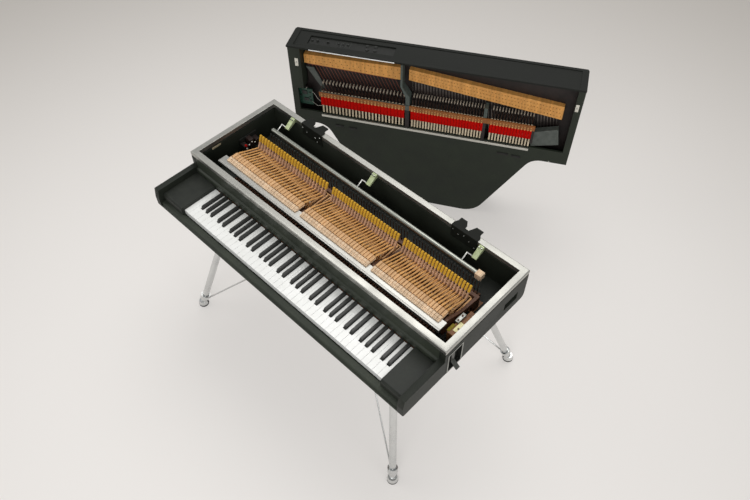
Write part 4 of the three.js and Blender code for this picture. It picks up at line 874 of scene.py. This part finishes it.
def makeHammerRail():
    bm = bmesh.new()
    corners = [bm.verts.new((hammerRail["left"], y, z)) for y, z in hammerRail["profile"]]
    side = bm.faces.new(corners)
    grown = bmesh.ops.extrude_face_region(bm, geom=[side])
    far = [item for item in grown["geom"] if isinstance(item, bmesh.types.BMVert)]
    bmesh.ops.translate(bm, verts=far, vec=(hammerRail["right"] - hammerRail["left"], 0, 0))
    finishPiece(
        bm, "hammerRailProfile", [satinRail], "keyboard_section", "rail_aluminium",
        bevel=hammerRail["bevel"], stand=["hammer_rail"],
    )
    print("hammer rail made")


def makeFlanges():
    for index, section in enumerate(sectionNames):
        places = hammerPlaces(index)
        shifts = [Matrix.Translation((x, 0, 0)) for x in places]
        pitch = hammers["pitch"][index]
        bm = bmesh.new()
        stamp(bm, flangeTemplate(pitch * flanges["widthShare"]), shifts)
        finishPiece(bm, "flangeForks_" + section, [flangeMaple], "keyboard_section", "action_wood")
        bm = bmesh.new()
        stamp(bm, lipTemplate(pitch * flanges["lipShare"]), shifts)
        rowX = (places[0] - pitch / 2, places[-1] + pitch / 2)
        addBlock(bm, rowX, (flanges["front"], flanges["back"] - flanges["baseInset"]), flanges["baseZ"])
        finishPiece(bm, "hammerFlanges_" + section, [palePear], "keyboard_section", "action_wood")
        bm = bmesh.new()
        stamp(bm, screwTemplate(), shifts)
        finishPiece(bm, "flangeScrews_" + section, [bluedSteel], "keyboard_section", "black_steel")
    print("flanges made")


def makeWippens():
    for section in sectionNames:
        node, name = "wippens_" + section, "wippenLevers_" + section
        refineNode(node, name, [wippenPearPaintedLight], "action_wood", 0.5, segments=1)
    print("wippens made")


# Dampers on the harp section

dampers = {
    "counts": [25, 25, 14],
    "firstX": [-489, -72, 279],
    "pitch": [15.6, 12.9, 13.2],
    "stringZ": [40, 46, 46],
    "stringGap": 1.7,
    "width": 7,
    "leverY": (224, 344),
    "leverZ": (-2, 4),
    "leverRound": 0.8,
    "spineY": (234.5, 238.5),
    "spineZ": (3.5, 8),
    "wireY": 196,
    "wireZ": 1,
    "wireBackY": 226,
    "wireRadius": 1.3,
    "stemTopIn": 2,
    "stemRadius": 1.1,
    "tipY": (188, 201),
    "tipHeight": 21,
    "tipShare": 0.6,
    "tipRound": 0.9,
    "feltY": (251.5, 299),
    "feltZ": (-6.5, -1.6),
    "feltInset": 0.5,
    "feltRound": 1.3,
    "flangeY": (233, 250),
    "flangeZ": (-11.8, -8.8),
    "flangeShare": 0.8,
    "flangeRound": 0.8,
    "screwY": 238,
    "screwZ": (-11.2, -12.6),
    "screwRadius": 1.9,
}


def damperPlaces(index):
    first, pitch = dampers["firstX"][index], dampers["pitch"][index]
    return [first + i * pitch for i in range(dampers["counts"][index])]


def addDamper(parts, x, tipHigh, feltHalf):
    half, y, z = dampers["width"] / 2, dampers["wireY"], dampers["wireZ"]
    tipX, flangeX = around(x, half * dampers["tipShare"]), around(x, half * dampers["flangeShare"])
    screwFrom, screwTo = dampers["screwZ"]
    leverY, leverZ, tipZ = dampers["leverY"], dampers["leverZ"], (tipHigh - dampers["tipHeight"], tipHigh)
    addBlock(parts["levers"], around(x, half), leverY, leverZ, dampers["leverRound"], 1)
    addRod(parts["wires"], (x, y, z), (x, dampers["wireBackY"], z), dampers["wireRadius"], 6)
    addRod(parts["wires"], (x, y, 0), (x, y, tipHigh - dampers["stemTopIn"]), dampers["stemRadius"], 6)
    addBlock(parts["tips"], tipX, dampers["tipY"], tipZ, dampers["tipRound"], 1)
    addBlock(parts["felts"], around(x, feltHalf), dampers["feltY"], dampers["feltZ"], dampers["feltRound"])
    addBlock(parts["flanges"], flangeX, dampers["flangeY"], dampers["flangeZ"], dampers["flangeRound"], 1)
    y = dampers["screwY"]
    addRod(parts["screws"], (x, y, screwFrom), (x, y, screwTo), dampers["screwRadius"], 8)


def makeDampers():
    for index, section in enumerate(sectionNames):
        body = "dampers_" + section
        places = damperPlaces(index)
        tipHigh = dampers["stringZ"][index] - dampers["stringGap"]
        feltHalf = dampers["pitch"][index] / 2 - dampers["feltInset"]
        parts = {name: bmesh.new() for name in ["levers", "wires", "tips", "felts", "flanges", "screws"]}
        for x in places:
            addDamper(parts, x, tipHigh, feltHalf)
        addBlock(parts["levers"], (places[0], places[-1]), dampers["spineY"], dampers["spineZ"])
        for part, name, material, rides, slot in [
            ("levers", "damperLevers_", leverWood, body, "action_wood"),
            ("wires", "damperWires_", bluedSteel, body, "black_steel"),
            ("screws", "damperFlangeScrews_", bluedSteel, "harp_section", "black_steel"),
            ("flanges", "damperFlanges_", flangeBeech, "harp_section", "frame_wood"),
            ("tips", "damperTips_", whiteFelt, body, "felt"),
            ("felts", "damperFelts_", redFelt, body, "felt"),
        ]:
            stand = [body] if part == "levers" else []
            finishPiece(parts[part], name + section, [material], rides, slot, harpPlace, stand=stand)
    print("dampers made")


# Tuning pins

# pins sit at these shares of the block's depth, in turn
tuning = {"pinRadius": 1.6, "pinOut": 27, "pinIn": 30.5, "depthShares": [0.22, 0.5, 0.78]}
pinBlocks = {
    "bass": {
        "x": (-572, -132), "frontY": (62, 55), "depth": (45, 65), "first": -562, "pitch": 8.6, "count": 50,
    },
    "treble": {
        "x": (-98, 567), "frontY": (59, 129), "depth": (55, 68), "first": -90, "pitch": 4.53, "count": 144,
    },
}


def makePins():
    shares = tuning["depthShares"]
    for name, block in pinBlocks.items():
        bm = bmesh.new()
        (left, right), (leftY, rightY) = block["x"], block["frontY"]
        leftDepth, rightDepth = block["depth"]
        for i in range(block["count"]):
            x = block["first"] + i * block["pitch"]
            part = (x - left) / (right - left)
            front = leftY + (rightY - leftY) * part
            depth = leftDepth + (rightDepth - leftDepth) * part
            y = front + depth * shares[i % len(shares)]
            addRod(bm, (x, y, tuning["pinIn"]), (x, y, tuning["pinOut"]), tuning["pinRadius"], 6)
        finishPiece(bm, "tuningPins_" + name, [tuningSteel], "harp_section", "string_steel", harpPlace)
    print("tuning pins made")


# Case, rim, slip and the other fixed pieces of the keyboard section

# where a piece changes its finish
seams = {
    "liftEndBlock": 493.5,
    "liftRodY": 488,
    "liftRodZ": 60,
    "dishRim": 630.9,
    "footTop": -668,
    "relayLeft": -590,
    "relayLow": -8,
}


def liftRailFaces(middle):
    if middle.x > seams["liftEndBlock"]:
        return 2
    return 1 if middle.y > seams["liftRodY"] or middle.z > seams["liftRodZ"] else 0


def latchDishFaces(middle):
    return 1 if abs(middle.x) > seams["dishRim"] else 0


def legFaces(middle):
    return 1 if middle.z < seams["footTop"] else 0


def relayFaces(middle):
    return 1 if middle.x > seams["relayLeft"] and middle.z > seams["relayLow"] else 0


def makeFixedPieces():
    # the last number of each line is its bevel
    plain = [
        ("lower_case", "lowerCase", blackVinyl, "vinyl", 1.6),
        ("rim_frame", "rimFrame", satinRim, "rim_aluminium", 0.8),
        ("key_slip", "keySlip", slipVinylPaintedLight, "vinyl", 1.0),
        ("cheek_block_left", "cheekBlockLeft", smoothBlack, "vinyl", 2.2),
        ("cheek_block_right", "cheekBlockRight", smoothBlack, "vinyl", 2.2),
        ("fallboard", "fallboardPanel", slipVinylPaintedLight, "vinyl", 1.2),
        ("key_frame", "keyFrame", stainedBeech, "frame_wood", 0.6),
        ("action_end_block", "actionEndBlock", stainedBeech, "frame_wood", 1.2),
        ("action_frame", "actionFrame", brownEnamel, "cast_brown", 1.2),
        ("hook_plate_left", "hookPlateLeft", hookBlack, "black_steel", 0.7),
        ("hook_plate_right", "hookPlateRight", hookBlack, "black_steel", 0.7),
    ]
    for node, name, material, slot, bevel in plain:
        refineNode(node, name, [material], slot, bevel)
    for section in sectionNames:
        refineNode("lift_bracket_" + section, "liftBracket_" + section, [yellowZinc], "plated_steel", 0.8)
    refineNode("lift_rail", "liftRail", [liftTube, whiteRod, palePear], "rail_aluminium", 0, liftRailFaces)
    refineNode("relay_stack", "relayStack", [satinBlack, relayBrown], "black_steel", 0.8, relayFaces)
    print("fixed pieces made")


def makeSidePieces():
    dish = [mouldedBlack, paleEdge]
    for side in sideNames:
        refineNode("latch_dish_" + side, "latchDish_" + side, dish, "black_steel", 0.5, latchDishFaces)
        refineNode("latch_lever_" + side, "latchLever_" + side, [leverSteel], "chrome", 0.6)
        for end in ["front", "back"]:
            node, name = end + "_" + side, end + side.capitalize()
            refineNode("leg_" + node, "leg_" + name, [chrome, rubber], "chrome", 0, legFaces)
            refineNode("brace_" + node, "brace_" + name, [chrome], "chrome", 0)
    print("latches, legs and braces made")


hookBolts = {
    "left": [(-432, 86), (-409, 74), (-362, 73), (-352, 58), (-336, 88)],
    "right": [(331, 89), (354, 78), (379, 90), (402, 76), (425, 62)],
    "y": (547.2, 544.1),
    "radius": 3.0,
    "endRadius": 2.2,
}
bracketScrews = {"x": [-487, -40, 455], "spread": 5, "y": 538, "z": (95.2, 99.4)}
cornerScrews = {
    "x": [-619, 619], "y": [162, 172, 556, 566], "sink": (0.6, 0.1), "radius": 2.4, "endRadius": 2.0,
}


def makeBolts():
    radius, endRadius = hookBolts["radius"], hookBolts["endRadius"]
    bm = bmesh.new()
    inY, outY = hookBolts["y"]
    for side in sideNames:
        for x, z in hookBolts[side]:
            addRod(bm, (x, inY, z), (x, outY, z), radius, 10, endRadius)
    finishPiece(bm, "hookPlateBolts", [brightSteel], "keyboard_section", "black_steel")
    bm = bmesh.new()
    y, (low, high) = bracketScrews["y"], bracketScrews["z"]
    for middle in bracketScrews["x"]:
        for x in around(middle, bracketScrews["spread"]):
            addRod(bm, (x, y, low), (x, y, high), radius, 10, endRadius)
    finishPiece(bm, "liftBracketScrews", [brightSteel], "keyboard_section", "plated_steel")
    bm = bmesh.new()
    low, high = [case["rimTop"] - sink for sink in cornerScrews["sink"]]
    for x in cornerScrews["x"]:
        for y in cornerScrews["y"]:
            addRod(bm, (x, y, low), (x, y, high), cornerScrews["radius"], 10, cornerScrews["endRadius"])
    finishPiece(bm, "rimCornerScrews", [bluedSteel], "keyboard_section", "rim_aluminium")
    print("bolts made")


# blocks as their reach in x, y and z, and the plate screws as a place, a reach in z and a radius
fittings = {
    "creamPlate": ((581, 604), (248, 288), (62.2, 64.2)),
    "plateRound": 0.6,
    "silverBracket": ((566, 580), (276, 318), (62.2, 70)),
    "strap": ((566, 577), (236, 268), (62, 63.4)),
    "wallPlate": ((-606.6, -604.4), (233, 274), (70, 78)),
    "plateScrews": [
        ((592, 262), (64, 66.2), 3.0),
        ((573, 284), (70, 72.5), 3.2),
        ((573, 306), (70, 72.5), 3.2),
    ],
    "contactX": (-577, -573),
    "contactFirstY": 364,
    "contactPitch": 14,
    "contactDepth": 5,
    "contactRound": 0.7,
    "contacts": [(2, 4), (14, 3), (20, 4), (10, 3)],
    "coilX": (-581, -574),
    "coilPlace": (366, 18),
    "coilRadius": 4.5,
}


def makeFittings():
    bm = bmesh.new()
    addBlock(bm, *fittings["creamPlate"], fittings["plateRound"])
    finishPiece(bm, "creamEndPlate", [creamPaint], "keyboard_section", "rail_aluminium")
    bm = bmesh.new()
    for (x, y), (low, high), radius in fittings["plateScrews"]:
        addRod(bm, (x, y, low), (x, y, high), radius, 12)
    finishPiece(bm, "endPlateScrews", [bluedSteel], "keyboard_section", "rail_aluminium")
    for key, name, material, slot, bevel in [
        ("silverBracket", "endBracket", paleEdge, "rail_aluminium", 1.0),
        ("strap", "endFeltStrip", oliveFelt, "felt", 0.5),
        ("wallPlate", "leftWallPlate", beigePlate, "black_steel", 0.5),
    ]:
        bm = bmesh.new()
        addBlock(bm, *fittings[key], bevel)
        finishPiece(bm, name, [material], "keyboard_section", slot)
    print("fittings made")


def makeRelayFittings():
    bm = bmesh.new()
    for i, (height, rise) in enumerate(fittings["contacts"]):
        y = fittings["contactFirstY"] + i * fittings["contactPitch"]
        contactY = (y, y + fittings["contactDepth"])
        addBlock(bm, fittings["contactX"], contactY, (height, height + rise), fittings["contactRound"])
    finishPiece(bm, "relayContacts", [nylon], "keyboard_section", "black_steel")
    bm = bmesh.new()
    (left, right), (y, z) = fittings["coilX"], fittings["coilPlace"]
    addRod(bm, (left, y, z), (right, y, z), fittings["coilRadius"], 12)
    finishPiece(bm, "relayCoilEnd", [redFelt], "keyboard_section", "black_steel")
    print("relay fittings made")


# Harp section

harpCase = {"topDepth": 12}
# where the rail, the struts and the end plates of the damper frame end
damperFrame = {
    "railFront": 222,
    "railBack": 249.2,
    "railHigh": 3,
    "ironHigh": 9,
    "ironRight": 450,
    "strutLeft": -103,
    "strutRight": -85,
    "plateLeft": -495,
    "plateLeftLow": 33,
    "plateRight": 441,
    "plateRightLow": 9,
}


# the harp case's top band takes the darker copy of its vinyl, as painted shade
def harpCaseShadedTopFaces(middle):
    return 1 if middle.y < harpCase["topDepth"] else 0


def cutDamperFrame(bm):
    # long faces are cut where the rail, the struts and their finishes end
    cuts = [
        ((0, damperFrame["railBack"], 0), (0, 1, 0)),
        ((damperFrame["strutLeft"], 0, 0), (1, 0, 0)),
        ((damperFrame["strutRight"], 0, 0), (1, 0, 0)),
    ]
    for point, normal in cuts:
        bmesh.ops.bisect_plane(
            bm,
            geom=bm.verts[:] + bm.edges[:] + bm.faces[:],
            dist=surface["mergeWithin"],
            plane_co=harpPlace @ Vector(point),
            plane_no=harpPlace.to_3x3() @ Vector(normal),
        )


def damperFrameFaces(middle):
    # a grey casting, with a beech rail (1), pale end plates (2) and dark iron behind the rail (3)
    x, y, z = middle
    if y > damperFrame["railBack"] and x < damperFrame["ironRight"]:
        return 3
    if x > damperFrame["plateRight"] and z > damperFrame["plateRightLow"]:
        return 2
    if x < damperFrame["plateLeft"] and z > damperFrame["plateLeftLow"]:
        return 2
    if y > damperFrame["railBack"] and z < damperFrame["ironHigh"]:
        return 3
    isStrut = damperFrame["strutLeft"] < x < damperFrame["strutRight"]
    if y > damperFrame["railFront"] and z < damperFrame["railHigh"] and not isStrut:
        return 1
    return 0


def makeHarp():
    refineNode("harp_case", "harpCase", [harpVinylPaintedLight, harpTopVinylPaintedShade], "vinyl", 1.4, harpCaseShadedTopFaces, harpPlace)
    plain = [
        ("control_plate", "controlPlate", satinBlack, "black_steel", 0.5),
        ("pin_block_bass", "pinBlockBass", pinMaple, "pin_block_wood", 1.0),
        ("pin_block_treble", "pinBlockTreble", pinMaple, "pin_block_wood", 1.0),
        ("iron_plate", "ironPlate", darkIron, "cast_iron", 0),
        ("strings_bass", "bassStrings", copperWound, "string_steel", 0),
        ("strings_treble", "trebleStrings", plainWire, "string_steel", 0),
    ]
    for node, name, material, slot, bevel in plain:
        refineNode(node, name, [material], slot, bevel)
    refineNode(
        "damper_frame", "damperFrame", [greyEnamel, harpBeech, paleEnamel, darkIron], "frame_wood", 1.0,
        damperFrameFaces, harpPlace, shape=cutDamperFrame,
    )
    refineNode("damper_stop_rail", "damperStopRail", [harpRail], "rail_aluminium", 1.0)
    refineNode("preamp_board", "preampBoard", [boardGreen], "board", 0.3)
    print("harp section made")


# out is how far a piece stands out of the control plate's face
controls = {
    "face": 9,
    "height": 62,
    "knobs": {"volume": -512, "tremolo": -465},
    "knobSides": 24,
    "collarOut": (0.3, 2.2),
    "collarRadius": 7.0,
    "knobOut": 7.2,
    "knobRadius": 5.6,
    "knobEndRadius": 5.0,
    "pointerHalf": 0.6,
    "pointerOut": (7.25, 4),
    "pointerRise": (1, 5.4),
    "sliderX": [-417, -396, -375],
    "capHalf": (3, 5),
    "capOut": (6.2, 0.3),
    "capWedgeOut": 4,
    "capWedgeShare": 0.62,
    "lineHalf": (2.6, 0.5),
    "lineOut": (6.45, 6.1),
    "slotHalf": (1, 19),
    "slotOut": (0.5, 0.1),
    "bevel": {"knob": 0.3, "cap": 0.5, "socket": 0.3},
}
frontSockets = {
    "jacks": [(-293, 76), (-256, 78), (-288, 50), (-254, 52)],
    "jackOut": 3.2,
    "jackRadius": 8.5,
    "jackEndRadius": 7.4,
    "nutOut": (3, 4.4),
    "nutRadius": 5.2,
    "smallKnobs": [(-535, 60)],
    "smallKnobOut": 5,
    "smallKnobRadius": 5,
    "smallKnobEndRadius": 4.4,
}
sliderScale = {
    "x": [-427, -406.5, -385.5, -365], "half": (2.2, 0.35), "out": (0.45, 0.1), "step": 5.6, "steps": 3,
}


def outwards(depths):
    # two distances out of the control plate's face, as a reach in y
    first, second = depths
    return (controls["face"] - first, controls["face"] - second)


def makeKnobs():
    z, sides = controls["height"], controls["knobSides"]
    collarIn, collarFace = outwards(controls["collarOut"])
    knobFace = controls["face"] - controls["knobOut"]
    low, high = controls["pointerRise"]
    radius, endRadius = controls["knobRadius"], controls["knobEndRadius"]
    pointerY, pointerZ = outwards(controls["pointerOut"]), (z + low, z + high)
    for name, x in controls["knobs"].items():
        bm = bmesh.new()
        addRod(bm, (x, collarIn, z), (x, collarFace, z), controls["collarRadius"], sides)
        addRod(bm, (x, collarFace, z), (x, knobFace, z), radius, sides, endRadius)
        addBlock(bm, around(x, controls["pointerHalf"]), pointerY, pointerZ)
        finishPiece(
            bm, name + "KnobCap", [mouldedBlack], name + "_knob", "knob_plastic", harpPlace,
            controls["bevel"]["knob"], stand=[name + "_knob"],
        )
    print("knobs made")


def makeSliders():
    middle = controls["height"]
    capWide, capTall = controls["capHalf"]
    lineWide, lineTall = controls["lineHalf"]
    for section, x in zip(sectionNames, controls["sliderX"]):
        body = "slider_" + section
        bm = bmesh.new()
        verts = addBlock(bm, around(x, capWide), outwards(controls["capOut"]), around(middle, capTall))
        for vert in verts:
            if vert.co.y < controls["face"] - controls["capWedgeOut"]:
                vert.co.z = middle + (vert.co.z - middle) * controls["capWedgeShare"]
        finishPiece(
            bm, "sliderCap_" + section, [mouldedBlack], body, "knob_plastic", harpPlace,
            controls["bevel"]["cap"], stand=[body],
        )
        bm = bmesh.new()
        addBlock(bm, around(x, lineWide), outwards(controls["lineOut"]), around(middle, lineTall))
        finishPiece(bm, "sliderLine_" + section, [paleEnamel], body, "knob_plastic", harpPlace)
    print("sliders made")


def makeSockets():
    face, middle = controls["face"], controls["height"]
    slotWide, slotTall = controls["slotHalf"]
    jackY, smallY = face - frontSockets["jackOut"], face - frontSockets["smallKnobOut"]
    nutIn, nutFace = outwards(frontSockets["nutOut"])
    jackRadius, jackEndRadius = frontSockets["jackRadius"], frontSockets["jackEndRadius"]
    radius, endRadius = frontSockets["smallKnobRadius"], frontSockets["smallKnobEndRadius"]
    bm = bmesh.new()
    for x in controls["sliderX"]:
        addBlock(bm, around(x, slotWide), outwards(controls["slotOut"]), around(middle, slotTall))
    for x, z in frontSockets["jacks"]:
        addRod(bm, (x, face, z), (x, jackY, z), jackRadius, 20, jackEndRadius)
        addRod(bm, (x, nutIn, z), (x, nutFace, z), frontSockets["nutRadius"], 20)
    for x, z in frontSockets["smallKnobs"]:
        addRod(bm, (x, face, z), (x, smallY, z), radius, 16, endRadius)
    finishPiece(
        bm, "controlSockets", [mouldedBlack], "harp_section", "knob_plastic", harpPlace,
        controls["bevel"]["socket"],
    )
    print("sockets made")


def makeScale():
    wide, tall = sliderScale["half"]
    steps = sliderScale["steps"]
    bm = bmesh.new()
    for x in sliderScale["x"]:
        for step in range(-steps, steps + 1):
            z = controls["height"] + step * sliderScale["step"]
            addBlock(bm, around(x, wide), outwards(sliderScale["out"]), around(z, tall))
    finishPiece(bm, "sliderScale", [paleEnamel], "harp_section", "knob_plastic", harpPlace)
    print("slider scale made")


# blocks as their reach in x, y and z, receivers as left, right and y, and the wires as the
# points that each one passes
harpFittings = {
    "plateRound": 0.6,
    "strip": ((-530, -153), (3.6, 8.3), (-12.9, -11.4)),
    "catches": [((-603, -588), (67, 106), (-2, 0.2)), ((606, 620), (82, 118), (-2, 0.2))],
    "catchScrews": [
        ((-595.5, 86), (-1.8, -4), 4.4, 3.6),
        ((613, 100), (-1.8, -4), 4.4, 3.6),
        ((555, 414), (0.2, -1.6), 3.6, 2.8),
    ],
    "receivers": [(-437, -396, 414), (-371, -333, 417), (324, 375, 414), (388, 429, 417)],
    "receiverHalf": 7,
    "receiverRound": 1.8,
    "receiverZ": (-2.4, 0.2),
    "receiverScrewZ": (-2.2, -3.4),
    "receiverScrewIn": 7,
    "receiverScrewRadius": 3.6,
    "chips": [
        ((-594, -572), (256, 276)),
        ((-588, -566), (296, 312)),
        ((-562, -554), (262, 268)),
        ((-562, -556), (288, 293)),
        ((-561, -553), (306, 313)),
        ((-604, -598), (282, 288)),
    ],
    "chipZ": (21, 24.3),
    "chipRound": 0.4,
    "wireRadius": 0.9,
    "wires": [
        [(-548, 256, 22), (-538, 254, 16), (-526, 262, 8), (-512, 276, 2), (-497, 284, -2)],
        [(-548, 314, 22), (-536, 318, 16), (-520, 320, 8), (-504, 312, 2), (-494, 308, -2)],
        [(-574, 248, 22), (-572, 236, 14), (-566, 226, 12)],
    ],
}


def makeCatches():
    bm = bmesh.new()
    addBlock(bm, *harpFittings["strip"], harpFittings["plateRound"])
    finishPiece(bm, "frontStrip", [stripPaintedHighlight], "harp_section", "rail_aluminium", harpPlace)
    bm = bmesh.new()
    for reach in harpFittings["catches"]:
        addBlock(bm, *reach, harpFittings["plateRound"])
    finishPiece(bm, "catchPlates", [nylon], "harp_section", "rail_aluminium", harpPlace)
    bm = bmesh.new()
    for (x, y), (inside, outside), radius, endRadius in harpFittings["catchScrews"]:
        addRod(bm, (x, y, inside), (x, y, outside), radius, 12, endRadius)
    finishPiece(bm, "catchScrews", [brightSteel], "harp_section", "rail_aluminium", harpPlace)
    print("strip and catches made")


def makeReceivers():
    inside, outside = harpFittings["receiverScrewZ"]
    screwIn, radius = harpFittings["receiverScrewIn"], harpFittings["receiverScrewRadius"]
    bm = bmesh.new()
    for left, right, y in harpFittings["receivers"]:
        ys = around(y, harpFittings["receiverHalf"])
        addBlock(bm, (left, right), ys, harpFittings["receiverZ"], harpFittings["receiverRound"])
        for x in [left + screwIn, right - screwIn]:
            addRod(bm, (x, y, inside), (x, y, outside), radius, 10)
    finishPiece(bm, "hookReceivers", [satinBlack], "harp_section", "black_steel", harpPlace)
    print("hook receivers made")


def makeBoardPieces():
    bm = bmesh.new()
    for xs, ys in harpFittings["chips"]:
        addBlock(bm, xs, ys, harpFittings["chipZ"], harpFittings["chipRound"], 1)
    finishPiece(bm, "boardChips", [mouldedBlack], "harp_section", "board", harpPlace)
    bm = bmesh.new()
    for points in harpFittings["wires"]:
        for start, end in zip(points, points[1:]):
            addRod(bm, start, end, harpFittings["wireRadius"], 6)
    finishPiece(bm, "boardWires", [wireWhite], "harp_section", "board", harpPlace)
    print("board pieces made")


makeKeys()
makeHammers()
makeHammerRail()
makeFlanges()
makeWippens()
makeFixedPieces()
makeSidePieces()
makeBolts()
makeFittings()
makeRelayFittings()
makeHarp()
makeDampers()
makePins()
makeKnobs()
makeSliders()
makeSockets()
makeScale()
makeCatches()
makeReceivers()
makeBoardPieces()
